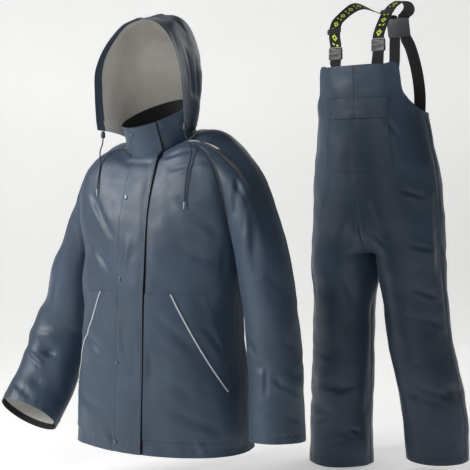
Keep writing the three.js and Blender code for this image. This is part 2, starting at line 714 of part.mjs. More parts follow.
function hoodForm(u, v, sign) {
  const s = hoodSection(v);
  const p = vec(0, 0, 0);
  if (u < HOOD_STRAIGHT) {
    const t = u / HOOD_STRAIGHT;
    p.set(mix(s.faceX, s.sideX, t * (2 - t)), mix(s.faceY, s.sideY, t), mix(s.faceZ, s.sideZ, t ** 1.4));
  } else {
    const t = (u - HOOD_STRAIGHT) / (1 - HOOD_STRAIGHT);
    const round = 1 - along(t) ** 1.15;
    p.set(t === 1 ? 0 : s.sideX * along(t) ** 1.1, 0, mix(s.sideZ, s.backZ, round));
    p.y = mix(s.sideY, s.backY, across(t) ** 1.1);
  }
  p.x *= sign;
  p.z += HOOD_LEAN * p.x;
  return p;
}

// The hood's form, drawn down to its seat near its lower edge
function hoodPoint(u, v, sign) {
  const p = hoodForm(u, v, sign);
  const near = Math.max(0, 1 - v / HOOD_SEAT.fade) ** 2;
  if (near === 0) return p;
  const t = Math.max(0, (u - HOOD_STRAIGHT) / (1 - HOOD_STRAIGHT));
  const forward = Math.min(1, u / HOOD_STRAIGHT) ** 3;
  const shift = hoodSeat(t, sign).sub(hoodForm(Math.max(u, HOOD_STRAIGHT), 0, sign));
  return p.addScaledVector(shift, near * forward);
}

const HOOD_HEIGHTS = [0, 0.08, 0.18, 0.3, 0.42, 0.54, 0.64, 0.73, 0.81, 0.88, 0.94, 1];
const hoodSheet = (sign) => ({
  rows: HOOD_HEIGHTS.toReversed().map((v) => steps(12).map((u) => hoodPoint(u, v, sign))),
  flip: sign < 0,
});
const hoodLeft = hoodSheet(1);
const hoodRight = hoodSheet(-1);
shareNormals([hoodLeft, hoodRight]);
add(jacket, "jacket_hood_left", wall(hoodLeft, -CLOTH, 0), coatedCloth);
add(jacket, "jacket_hood_right", wall(hoodRight, -CLOTH, 0), coatedCloth);

// Hood drawcord: a cord lock at each lower front corner, and a free end with its tip hanging from it
const CORD_LOCK = { radius: 6, length: 18, sides: 12, clear: 1 };
const CORD = { radius: 1.75, step: 9, sides: 8, offChest: 2.3 };
const CORD_TIP = { radius: 2.2, length: 18, sides: 10 };
const CORD_FALLS = {
  left: [[155, -90, -4], [154, -90, -64], [153, -90, -140]],
  right: [[-131, -92, -8], [-127, -92, -55], [-124, -92, -106]],
};

// The jacket's front at a place across and a height
function chestAt(x, z) {
  let above = 0;
  let below = 2;
  for (let i = 0; i < 30; i++) {
    const q = (above + below) / 2;
    if (lean(bodyPoint(q, x, true)).z > z) above = q;
    else below = q;
  }
  return lean(bodyPoint(above, x, true));
}

const lockPlace = (side) => {
  const corner = hoodPoint(0.05, 0, side === "left" ? 1 : -1);
  corner.z -= CORD_LOCK.length / 2 + CORD_LOCK.clear;
  return corner;
};

function cordRoute(side) {
  const start = lockPlace(side);
  start.z -= CORD_LOCK.length / 2 + 2 * SEAM_GAP;
  const below = start.clone().sub(vec(0, 0, CORD.step));
  const fall = new THREE.CatmullRomCurve3([start, below, ...CORD_FALLS[side].map((p) => vec(...p))]);
  const points = steps(Math.round(fall.getLength() / (2 * CORD.step))).map((t) => {
    const p = fall.getPointAt(t);
    p.y = Math.min(p.y, chestAt(p.x, p.z).y - CORD.offChest - 0.8 * t);
    return p;
  });
  return new THREE.CatmullRomCurve3(points);
}

// A round bar from one place towards another
function bar(size, middle, towards) {
  const geometry = new THREE.CylinderGeometry(size.radius, size.radius, size.length, size.sides);
  const turn = new THREE.Quaternion().setFromUnitVectors(vec(0, 1, 0), towards.clone().normalize());
  return geometry.applyMatrix4(new THREE.Matrix4().makeRotationFromQuaternion(turn).setPosition(middle));
}

for (const side of ["left", "right"]) {
  const route = cordRoute(side);
  const finish = route.getPointAt(1);
  const down = route.getTangentAt(1);
  const section = new THREE.Shape(
    steps(CORD.sides).slice(1).map((t) => {
      const turn = 2 * Math.PI * t;
      return new THREE.Vector2(CORD.radius * Math.cos(turn), CORD.radius * Math.sin(turn));
    }),
  );
  const cord = new THREE.ExtrudeGeometry(section, {
    steps: Math.round(route.getLength() / CORD.step),
    extrudePath: route,
  });
  add(jacket, `hood_cord_${side}`, cord, cordNavy);
  add(jacket, `hood_cord_lock_${side}`, bar(CORD_LOCK, lockPlace(side), vec(0, 0, 1)), greyPlastic);
  const tipAt = finish.addScaledVector(down, CORD_TIP.length / 2 + SEAM_GAP);
  add(jacket, `hood_cord_tip_${side}`, bar(CORD_TIP, tipAt, down), tipPlastic);
}

// Bib trousers

const BIB_TOP = 262;
const SEAT_LINE = -120;
const CROTCH = { y: 15, z: -300, squareness: 0.55, parting: 0.15, reachAbove: 3, reach: 9 };
const THIGH = { fullness: 0.68, roundFrom: -290, roundTo: -460 };

const trunks = table(
  ["z", "right", "left", "front", "sideY", "back"],
  [
    [BIB_TOP, 180, 178, -171, -48, 75],
    [200, 179, 173, -165, -38, 82],
    [125, 180, 165, -158, -26, 91],
    [60, 186, 174, -153, -16, 106],
    [-47, 200, 194, -150, -5, 133],
    [-145, 205, 203, -148, -2, 142],
    [-233, 207, 207, -146, 0, 145],
    [-330, 206, 206, -140, 0, 142],
  ],
);

const LEG_COLUMNS = ["z", "x", "y", "wide", "deep"];
const LEGS = {
  right: table(LEG_COLUMNS, [
    [-200, -106, 0, 100, 124],
    [-330, -110, 0, 98, 118],
    [-415, -116, 2, 96, 108],
    [-586, -117, 2, 95, 105],
    [-728, -121, 0, 100, 106],
    [-879, -121, 0, 98, 106],
    [-963, -123, 0, 100, 107],
  ]),
  left: table(LEG_COLUMNS, [
    [-200, 104, 0, 100, 124],
    [-330, 110, 4, 98, 118],
    [-415, 119, 8, 97, 110],
    [-500, 129, 10, 96, 106],
    [-561, 137, 10, 96, 104],
    [-640, 154, 12, 97, 104],
    [-724, 173, 12, 97, 103],
    [-820, 186, 14, 96, 102],
    [-918, 194, 14, 94, 100],
  ]),
};
const LEG_HEM = { right: -963, left: -918 };

// Top edge: level over the bib, cut away under the arm, low round the back; read by distance round the panel
const frontTop = table(["v", "z"], [
  [0, BIB_TOP], [0.3, BIB_TOP], [0.49, BIB_TOP - 4], [0.55, 192], [0.64, 166], [0.72, 152], [0.86, 134], [1, 127],
]);
const backTop = table(["v", "z"], [[0, 122], [0.5, 124], [1, 127]]);

const TROUSERS_FOLDS = {
  right: [
    [-190, -70, -700, -60, -105, -712, 16, -9],
    [-215, -40, -760, -120, -105, -790, 16, -8],
    [-80, -110, -850, -20, -60, -862, 14, -7],
    [-200, 60, -700, -80, 110, -730, 20, -8],
    [-60, -130, -330, -110, -115, -520, 30, 5],
  ],
  left: [
    [200, -60, -120, 236, -50, -480, 16, 8],
    [215, -30, -130, 246, -10, -500, 16, -9],
    [228, -40, -440, 262, 40, -452, 16, -9],
    [240, -30, -540, 262, 60, -552, 14, -7],
    [250, -40, -700, 290, 50, -720, 18, -8],
    [120, -95, -700, 250, -70, -730, 20, -6],
  ],
};

const FRONT_COLUMNS = [0, 0.12, 0.24, 0.36, 0.49, 0.55, 0.72, 0.86, 1];
const BACK_COLUMNS = [0, 0.16, 0.32, 0.5, 0.66, 0.84, 1];
const CHEST_POCKET = { top: 165, flapFoot: 106, foot: -53 };
const BIB_HEIGHTS = [BIB_TOP, 213, CHEST_POCKET.top, CHEST_POCKET.flapFoot, 54, 0, CHEST_POCKET.foot, SEAT_LINE];
const RISE_ROWS = 5;
const LEG_ROWS = 12;

// A row of a trouser panel: how deep it lies at its inner edge and at its outseam, and its place on the rise
function trouserRows(hem) {
  const rows = BIB_HEIGHTS.map((z) => {
    const fromTop = (BIB_TOP - z) / (BIB_TOP - SEAT_LINE);
    return { fromTop, inner: SEAT_LINE, outer: SEAT_LINE, rise: 0 };
  });
  for (const t of steps(RISE_ROWS).slice(1)) {
    const rise = t * 90 * DEGREE;
    const inner = mix(SEAT_LINE, CROTCH.z, Math.sin(rise));
    rows.push({ fromTop: 1, inner, outer: mix(SEAT_LINE, CROTCH.z, t), rise });
  }
  for (const t of steps(LEG_ROWS).slice(1)) {
    const z = mix(CROTCH.z, hem, t);
    rows.push({ fromTop: 1, inner: z, outer: z, rise: null });
  }
  return rows;
}

function trouserPoint(side, isFront, row, v) {
  const sign = side === "left" ? 1 : -1;
  const top = isFront ? frontTop(v).z : backTop(v).z;
  const level = mix(row.inner, row.outer, ease(0, 0.7, v));
  const z = row.fromTop < 1 ? mix(top, SEAT_LINE, row.fromTop) : level;
  const body = trunks(z);
  const leg = LEGS[side](z);
  const middle = isFront ? body.front : body.back;
  const onBody = vec(sign * body[side] * across(v), mix(middle, body.sideY, 1 - along(v)), z);
  const round = v * 180 * DEGREE;
  const facing = isFront ? -1 : 1;
  const power = mix(THIGH.fullness, 1, ease(THIGH.roundFrom, THIGH.roundTo, z));
  const onLeg = (a) => {
    const forward = leg.deep * Math.abs(Math.sin(a)) ** power;
    return vec(leg.x - sign * leg.wide * Math.cos(a), leg.y + facing * forward, z);
  };
  const legShare = ease(-150, -330, z);
  const p = onBody.lerp(onLeg(round), legShare);
  const seam = vec(0, middle, z);
  if (row.rise !== null) {
    const started = trunks(SEAT_LINE);
    const turned = Math.cos(row.rise) ** CROTCH.squareness;
    seam.y = row.rise === 0 ? middle : mix(CROTCH.y, isFront ? started.front : started.back, turned);
  } else {
    const together = CROTCH.parting * ease(CROTCH.z, CROTCH.z - 50, z);
    const apart = together + (1 - CROTCH.parting) * ease(CROTCH.z - 70, CROTCH.z - 190, z);
    const inside = onLeg(0);
    seam.x = inside.x * apart;
    seam.y = mix(CROTCH.y, inside.y, apart);
  }
  const plainSeam = vec(0, middle, z).lerp(onLeg(0), legShare);
  const reach = row.rise === null ? CROTCH.reach : mix(CROTCH.reachAbove, CROTCH.reach, row.rise / (90 * DEGREE));
  p.addScaledVector(seam.sub(plainSeam), (1 - v) ** reach);
  const axisX = mix(0, leg.x, legShare);
  const outward = vec(p.x - axisX, p.y - mix(body.sideY, leg.y, legShare), 0).normalize();
  const clear = ease(0, 0.2, v);
  return p.addScaledVector(outward, foldHeight(TROUSERS_FOLDS[side], p) * clear);
}

const trouserSheet = (side, isFront) => ({
  rows: trouserRows(LEG_HEM[side]).map((row) =>
    (isFront ? FRONT_COLUMNS : BACK_COLUMNS).map((v) => trouserPoint(side, isFront, row, v)),
  ),
  flip: (side === "left") !== isFront,
});

const panels = {};
for (const side of ["left", "right"]) {
  panels[`front_${side}`] = trouserSheet(side, true);
  panels[`back_${side}`] = trouserSheet(side, false);
}
shareNormals(Object.values(panels));
for (const [name, sheet] of Object.entries(panels)) {
  add(trousers, `trousers_${name}`, wall(sheet, -CLOTH, 0), coatedCloth);
}

// Chest pocket across the bib's middle seam, its flap and two snaps
const CHEST_COLUMNS = 3;
const chestRow = (z) => BIB_HEIGHTS.indexOf(z);

function acrossBib(rowFrom, rowTo) {
  const right = part(panels.front_right, rowFrom, rowTo + 1, 0, CHEST_COLUMNS + 1);
  const left = part(panels.front_left, rowFrom, rowTo + 1, 0, CHEST_COLUMNS + 1);
  const joined = (a, b) => a.map((row, j) => row.slice(1).reverse().concat(b[j]));
  return { rows: joined(right.rows, left.rows), thick: joined(right.thick, left.thick) };
}

const chest = acrossBib(chestRow(CHEST_POCKET.top), chestRow(CHEST_POCKET.foot));
add(trousers, "trousers_chest_pocket", wall(chest, LIFT, LIFT + OVERLAY), coatedCloth);
const chestFlap = acrossBib(chestRow(CHEST_POCKET.top), chestRow(CHEST_POCKET.flapFoot));
add(trousers, "trousers_chest_flap", wall(chestFlap, OVER_PATCH, OVER_PATCH + OVERLAY), coatedCloth);
for (const [side, column] of [["left", 2 * CHEST_COLUMNS - 1], ["right", 0]]) {
  const { middle, outward } = faceMiddle(chestFlap, 0, column);
  const low = chestFlap.rows[1][column].clone().add(chestFlap.rows[1][column + 1]).multiplyScalar(0.5);
  const place = middle.lerp(low, 0.35);
  add(trousers, `trousers_flap_snap_${side}`, snap(place, outward, OVER_PATCH + OVERLAY + 0.2), paintedMetal);
}

// Braces: webbing straps given by the middle of the strap and the way its width runs
const STRAP = { width: 36, thick: 2 };
const BUCKLE = { width: 42, height: 36, depth: 10, corner: 6 };
const SLIDER = { width: 44, height: 18, depth: 4, corner: 4, clear: 0.8 };
const BACK_PATCH = { width: 76, height: 60, depth: 3, corner: 6 };
const PATCH_PLACE = { x: 4, y: 137, z: 412, leanForward: 0.3 };

function strapCurve(places) {
  const path = new THREE.CatmullRomCurve3(places.map(([x, y, z]) => vec(x, y, z)));
  const widths = new THREE.CatmullRomCurve3(places.map((row) => vec(row[3], row[4], row[5])));
  return (t) => {
    const middle = path.getPoint(t);
    const run = path.getTangent(t);
    const wide = widths.getPoint(t);
    wide.addScaledVector(run, -wide.dot(run)).setLength(STRAP.width / 2);
    return { middle, run, wide };
  };
}

// A strap along its places; `sewn` holds rows of the sheet it is sewn inside of, which come first
function strap(places, count, sewn = []) {
  const at = strapCurve(places);
  const rows = steps(count).map((t) => {
    const { middle, wide } = at(t);
    return [middle.clone().sub(wide), middle, middle.clone().add(wide)];
  });
  const sheet = { rows: sewn.concat(rows) };
  shareNormals([sheet]);
  return wall(sheet, -STRAP.thick / 2, STRAP.thick / 2);
}

// A flat moulded piece with rounded corners: `up` along its height, `outward` through its depth
function moulded(size, centre, up, outward) {
  const shape = new THREE.Shape();
  const w = size.width / 2 - size.corner;
  const h = size.height / 2 - size.corner;
  shape.absarc(w, h, size.corner, 0, Math.PI / 2);
  shape.absarc(-w, h, size.corner, Math.PI / 2, Math.PI);
  shape.absarc(-w, -h, size.corner, Math.PI, 1.5 * Math.PI);
  shape.absarc(w, -h, size.corner, 1.5 * Math.PI, 2 * Math.PI);
  const geometry = new THREE.ExtrudeGeometry(shape, { depth: size.depth, bevelEnabled: false, curveSegments: 3 });
  geometry.translate(0, 0, -size.depth / 2);
  const z = outward.clone().normalize();
  const y = up.clone().addScaledVector(z, -up.dot(z)).normalize();
  const x = vec(0, 0, 0).crossVectors(y, z);
  return geometry.applyMatrix4(new THREE.Matrix4().makeBasis(x, y, z).setPosition(centre));
}

// A row of strap points on the inner face of a trouser panel: x across, `drop` of the way to its next row
function sewnRow(sheet, x, drop) {
  const along = (u) => onSheet(sheet, drop, u).middle.x;
  const last = sheet.rows[0].length - 1.001;
  return [-0.5, 0, 0.5].map((side) => {
    const target = x + side * STRAP.width;
    let low = 0;
    let high = last;
    for (let i = 0; i < 24; i++) {
      const u = (low + high) / 2;
      if (Math.abs(along(u)) < Math.abs(target)) low = u;
      else high = u;
    }
    const i = Math.floor(low);
    const thick = sheet.thick[0][i].clone().lerp(sheet.thick[0][i + 1], low - i);
    const { middle } = onSheet(sheet, drop, low);
    return middle.addScaledVector(thick, -(CLOTH + 2 * LIFT + STRAP.thick / 2));
  });
}

// On the outer face of the back patch, `up` from its middle
const onPatch = (x, up, clear = 0) => {
  const tilt = PATCH_PLACE.leanForward;
  const level = Math.sqrt(1 - tilt * tilt);
  const off = (BACK_PATCH.depth + STRAP.thick) / 2 + LIFT + clear;
  return [x, PATCH_PLACE.y - tilt * up + level * off, PATCH_PLACE.z + level * up + tilt * off, 1, 0, 0];
};

const BUCKLE_Y = -157;
const BRACE_X = { left: 73, right: -67 };
const BUCKLE_Z = { left: 317, right: 301 };
const PATCH_X = { left: 23, right: -15 };
const FRONT_STRAPS = {
  right: [
    [-67, BUCKLE_Y, 320, 1, 0, 0],
    [-67, BUCKLE_Y, 328, 1, 0, 0],
    [-73, -152, 350, 1, 0, 0],
    [-78, -142, 374, 1, 0, -0.1],
    [-81, -122, 400, 1, -0.1, -0.3],
    [-80, -92, 421, 0.9, -0.3, -0.5],
    [-77, -55, 443, 0.9, -0.3, -0.6],
    [-74, -15, 462, 1, 0, -0.7],
    [-70, 22, 470, 1, 0, -0.7],
    [-60, 60, 466, 1, 0.1, -0.6],
    [-43, 94, 457, 1, 0.2, -0.4],
    [-25, 117, 450, 1, 0.1, -0.2],
    onPatch(PATCH_X.right, 31, 1.6),
    onPatch(PATCH_X.right, 18),
    onPatch(PATCH_X.right, 4),
  ],
  left: [
    [73, BUCKLE_Y, 336, 1, 0, 0],
    [73, BUCKLE_Y, 344, 1, 0, 0],
    [75, -146, 368, 1, 0, 0],
    [74, -122, 395, 1, 0, 0],
    [71, -92, 420, 1, 0, 0],
    [71, -52, 447, 1, 0, 0],
    [74, -8, 466, 1, 0, -0.1],
    [74, 38, 470, 1, 0, -0.2],
    [66, 78, 462, 1, -0.1, -0.2],
    [52, 104, 455, 1, -0.1, -0.1],
    [36, 120, 449, 1, 0, 0],
    onPatch(PATCH_X.left, 31, 1.6),
    onPatch(PATCH_X.left, 18),
    onPatch(PATCH_X.left, 4),
  ],
};
const BACK_STRAPS = {
  right: [
    [-20, 80, 142, 1, 0, 0],
    [-11, 88, 190, 1, 0, 0],
    [-2, 104, 245, 1, 0, 0],
    [-2, 121, 300, 1, 0, 0],
    [-9, 138, 350, 1, 0, 0],
    onPatch(PATCH_X.right, -33, 1.2),
    onPatch(PATCH_X.right, -18),
    onPatch(PATCH_X.right, -4),
  ],
  left: [
    [108, 68, 142, 1, 0.25, 0],
    [102, 82, 185, 1, 0.2, 0],
    [86, 104, 245, 1, 0.1, 0],
    [64, 124, 305, 1, 0.05, 0],
    [42, 140, 352, 1, 0, 0],
    onPatch(PATCH_X.left, -33, 1.2),
    onPatch(PATCH_X.left, -18),
    onPatch(PATCH_X.left, -4),
  ],
};
const SEWN_BACK_X = { left: 110, right: -24 };
const SLIDER_AT = { left: 0.31, right: 0.2 };

const SEWN_DROPS = [0.7, 0.35, 0.02];
for (const side of ["left", "right"]) {
  const buckleAt = vec(BRACE_X[side], BUCKLE_Y, BUCKLE_Z[side]);
  const foot = buckleAt.z - BUCKLE.height / 2 - SEAM_GAP;
  const lower = [
    [buckleAt.x, BUCKLE_Y - 2, foot - 10, 1, 0, 0],
    [buckleAt.x, BUCKLE_Y, foot, 1, 0, 0],
  ];
  const inFront = SEWN_DROPS.map((drop) => sewnRow(panels[`front_${side}`], buckleAt.x, drop));
  const inBack = SEWN_DROPS.map((drop) => sewnRow(panels[`back_${side}`], SEWN_BACK_X[side], drop));
  add(trousers, `brace_lower_strap_${side}`, strap(lower, 1, inFront), webbing);
  add(trousers, `brace_buckle_${side}`, moulded(BUCKLE, buckleAt, vec(0, 0, 1), vec(0, -1, 0)), greyPlastic);
  add(trousers, `brace_front_strap_${side}`, strap(FRONT_STRAPS[side], 24), webbing);
  const { middle, run, wide } = strapCurve(FRONT_STRAPS[side])(SLIDER_AT[side]);
  const outward = vec(0, 0, 0).crossVectors(run, wide).normalize();
  if (outward.y > 0) outward.negate();
  middle.addScaledVector(outward, (STRAP.thick + SLIDER.depth) / 2 + SLIDER.clear);
  add(trousers, `brace_slider_${side}`, moulded(SLIDER, middle, run, outward), greyPlastic);
  add(trousers, `brace_back_strap_${side}`, strap(BACK_STRAPS[side], 12, inBack), webbing);
}

const patchUp = vec(0, -PATCH_PLACE.leanForward, Math.sqrt(1 - PATCH_PLACE.leanForward ** 2));
const patchOut = vec(0, patchUp.z, -patchUp.y);
const patchAt = vec(PATCH_PLACE.x, PATCH_PLACE.y, PATCH_PLACE.z);
add(trousers, "brace_back_patch", moulded(BACK_PATCH, patchAt, patchUp, patchOut), webbing);

export default new THREE.Group().add(jacket, trousers);
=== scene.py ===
"""A two-piece rain suit, filled out as worn: a hooded jacket and bib trousers with braces."""
import json
import math
import random

import bmesh
import bpy
import numpy as np
from mathutils import Matrix, Vector

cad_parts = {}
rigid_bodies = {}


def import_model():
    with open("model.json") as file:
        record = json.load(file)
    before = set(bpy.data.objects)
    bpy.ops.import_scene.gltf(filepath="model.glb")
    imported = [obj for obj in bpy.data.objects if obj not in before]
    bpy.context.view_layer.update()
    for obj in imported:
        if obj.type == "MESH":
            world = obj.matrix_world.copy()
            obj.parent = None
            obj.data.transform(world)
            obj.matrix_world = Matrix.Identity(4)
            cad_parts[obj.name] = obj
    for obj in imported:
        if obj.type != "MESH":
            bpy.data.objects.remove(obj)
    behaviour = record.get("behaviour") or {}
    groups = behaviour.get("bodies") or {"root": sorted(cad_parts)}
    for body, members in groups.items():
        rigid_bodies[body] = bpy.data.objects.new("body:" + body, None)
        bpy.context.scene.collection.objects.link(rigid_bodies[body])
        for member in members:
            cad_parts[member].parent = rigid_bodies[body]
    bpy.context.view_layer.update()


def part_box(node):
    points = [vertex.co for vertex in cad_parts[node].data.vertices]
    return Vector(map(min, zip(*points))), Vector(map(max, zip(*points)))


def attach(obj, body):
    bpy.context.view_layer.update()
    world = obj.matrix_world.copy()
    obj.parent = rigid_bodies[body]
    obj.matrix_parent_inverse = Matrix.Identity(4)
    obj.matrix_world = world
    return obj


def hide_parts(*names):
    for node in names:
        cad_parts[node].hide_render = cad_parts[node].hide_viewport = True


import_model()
for cad_object in bpy.context.scene.objects:
    cad_object.select_set(False)
random.seed(5)

MM = 0.001
HANDS = {"left": 1, "right": -1}


def linked(name, data):
    obj = bpy.data.objects.new(name, data)
    bpy.context.collection.objects.link(obj)
    return obj


# ---- Camera and light ----

PHOTO_SIDE = 470
FOCAL_PIXELS = 1050
SENSOR = 36.0
CAMERA_AT = (0.202, -2.833, -0.131)
CAMERA_TILT = math.radians(2.0)
FLOOR_Z = -0.9645

camera_data = bpy.data.cameras.new("camera")
camera_data.sensor_width = SENSOR
camera_data.lens = FOCAL_PIXELS * SENSOR / PHOTO_SIDE
camera_data.clip_end = 40
camera = linked("camera", camera_data)
camera.location = CAMERA_AT
camera.rotation_euler = (math.pi / 2 - CAMERA_TILT, 0, 0)
bpy.context.scene.camera = camera


def soft_light(name, place, target, size, watts):
    lamp = bpy.data.lights.new(name, "AREA")
    lamp.shape = "RECTANGLE"
    lamp.size, lamp.size_y = size
    lamp.energy = watts
    obj = linked(name, lamp)
    obj.location = place
    obj.rotation_euler = (Vector(target) - Vector(place)).to_track_quat("-Z", "Y").to_euler()


soft_light("key_softbox", (-3.4, -1.3, 1.4), (0.1, 0.1, -0.3), (1.2, 1.8), 145)
soft_light("front_fill", (-0.6, -4.4, 1.0), (0.3, 0.2, -0.3), (2.0, 2.0), 3)
soft_light("hood_fill", (-0.5, -1.9, 0.7), (0.0, 0.0, 0.22), (0.5, 0.5), 7)
soft_light("back_rim", (1.9, 2.2, 1.5), (0.3, 0.2, -0.2), (1.4, 1.6), 14)

world = bpy.data.worlds.new("studio")
world.use_nodes = True
world.node_tree.nodes["Background"].inputs["Color"].default_value = (1.0, 1.0, 1.0, 1)
world.node_tree.nodes["Background"].inputs["Strength"].default_value = 0.08
bpy.context.scene.world = world
bpy.context.scene.view_settings.view_transform = "Standard"

# ---- Materials ----


def linear(code):
    """An sRGB hex colour as linear RGBA."""
    out = []
    for i in (0, 2, 4):
        c = int(code[i:i + 2], 16) / 255
        out.append(c / 12.92 if c <= 0.04045 else ((c + 0.055) / 1.055) ** 2.4)
    return (*out, 1.0)


def add_node(tree, kind, settings=None, **links):
    """Adds a node, sets its settings and links its inputs (a socket, or a value) by name."""
    node = tree.nodes.new(kind)
    for key, value in (settings or {}).items():
        setattr(node, key, value)
    for key, value in links.items():
        name = int(key[1:]) if key[0] == "_" and key[1:].isdigit() else key.replace("_", " ")
        socket = node.inputs[name]
        if isinstance(value, bpy.types.NodeSocket):
            tree.links.new(value, socket)
        else:
            socket.default_value = value
    return node


def new_material(name, roughness, colour="808080", metallic=0.0, **shader):
    material = bpy.data.materials.new(name)
    material.use_nodes = True
    tree = material.node_tree
    bsdf = tree.nodes["Principled BSDF"]
    bsdf.inputs["Base Color"].default_value = linear(colour)
    bsdf.inputs["Roughness"].default_value = roughness
    bsdf.inputs["Metallic"].default_value = metallic
    for key, value in shader.items():
        bsdf.inputs[key.replace("_", " ")].default_value = value
    return material, tree, bsdf


def uv_in_mm(tree):
    """The piece's own UV map holds metres of cloth; this gives millimetres."""
    uv = add_node(tree, "ShaderNodeUVMap", {"uv_map": "cloth"})
    scaled = add_node(tree, "ShaderNodeVectorMath", {"operation": "SCALE"}, _0=uv.outputs[0])
    scaled.inputs["Scale"].default_value = 1000
    return scaled.outputs[0]


def colour_between(tree, fac, low, high, start=0.0, end=1.0):
    ramp = add_node(tree, "ShaderNodeValToRGB", Fac=fac)
    ramp.color_ramp.elements[0].color = linear(low)
    ramp.color_ramp.elements[0].position = start
    ramp.color_ramp.elements[1].color = linear(high)
    ramp.color_ramp.elements[1].position = end
    return ramp.outputs["Color"]


def coloured(tree, bsdf, fac, low, high, start=0.0, end=1.0):
    """The base colour runs from low to high with fac."""
    tree.links.new(colour_between(tree, fac, low, high, start, end), bsdf.inputs["Base Color"])


def noise_at(tree, vector, scale, detail=3.0, rough=0.5):
    node = add_node(tree, "ShaderNodeTexNoise", Vector=vector, Scale=scale, Detail=detail, Roughness=rough)
    return node.outputs["Fac"]


def bump_on(tree, bsdf, height, distance, strength=1.0, under=None):
    node = add_node(tree, "ShaderNodeBump", Height=height, Distance=distance, Strength=strength)
    if under is not None:
        tree.links.new(under, node.inputs["Normal"])
    tree.links.new(node.outputs["Normal"], bsdf.inputs["Normal"])
    return node.outputs["Normal"]


def coated_cloth():
    """Polyurethane-coated knit: a smooth satin film that still shows the soft grain of the knit below it."""
    material, tree, bsdf = new_material(
        "polyurethane_coated_knit", 0.47, "33424f", Specular_IOR_Level=0.42, IOR=1.5, Sheen_Weight=0.06
    )
    uv = uv_in_mm(tree)
    place = add_node(tree, "ShaderNodeTexCoord").outputs["Object"]
    coloured(tree, bsdf, noise_at(tree, place, 5.0, 4.0, 0.55), "303e4d", "36465a", 0.35, 0.65)
    wear = noise_at(tree, place, 22.0, 3.0)
    rough = add_node(
        tree, "ShaderNodeMapRange", Value=wear, From_Min=0.3, From_Max=0.7, To_Min=0.42, To_Max=0.52,
    )
    tree.links.new(rough.outputs["Result"], bsdf.inputs["Roughness"])
    # knit grain: the real loops are 0.6 mm apart, drawn 1.6 mm apart so that they show
    grain = noise_at(tree, uv, 1 / 1.6, 2.0)
    first = bump_on(tree, bsdf, grain, 0.0001, 0.35)
    ripple = noise_at(tree, uv, 1 / 38, 3.0, 0.6)
    bump_on(tree, bsdf, ripple, 0.0014, 0.55, first)
    return material


def knit_backing():
    """Brushed polyester knit inside the coating: light, warm grey and quite matt, with fine ribs."""
    material, tree, bsdf = new_material("brushed_knit_backing", 0.92, "bdbbb6", Sheen_Weight=0.2)
    uv = uv_in_mm(tree)
    place = add_node(tree, "ShaderNodeTexCoord").outputs["Object"]
    coloured(tree, bsdf, noise_at(tree, place, 9.0, 5.0, 0.6), "b3b1ac", "cbc8c2", 0.25, 0.75)
    bump_on(tree, bsdf, noise_at(tree, uv, 1 / 1.2, 3.0), 0.0002, 0.5)
    return material


def dark_facing():
    """Woven polyester tape turned over the raw edges inside: near black and matt."""
    material, tree, bsdf = new_material("woven_facing_tape", 0.85, "17191d")
    uv = uv_in_mm(tree)
    diagonal = {"bands_direction": "DIAGONAL"}
    weave = add_node(tree, "ShaderNodeTexWave", diagonal, Vector=uv, Scale=0.35, Distortion=0.4)
    bump_on(tree, bsdf, weave.outputs["Fac"], 0.0001, 0.5)
    return material


def sewing_thread():
    """Twisted polyester thread, a shade lighter than the cloth, with a slight lustre."""
    material, tree, bsdf = new_material("polyester_thread", 0.55, "566576")
    place = add_node(tree, "ShaderNodeTexCoord").outputs["Object"]
    coloured(tree, bsdf, noise_at(tree, place, 60.0), "4c5a6a", "617184", 0.35, 0.65)
    return material


def reflective_piping():
    """Glass-bead reflective tape folded into piping: cool silver, softly bright."""
    material, tree, bsdf = new_material("glass_bead_piping", 0.38, "b4bcc4", 0.35)
    beads = noise_at(tree, uv_in_mm(tree), 1 / 0.5, 1.0)
    coloured(tree, bsdf, beads, "a5adb5", "cdd3d8", 0.3, 0.7)
    bump_on(tree, bsdf, beads, 0.0001, 0.4)
    return material


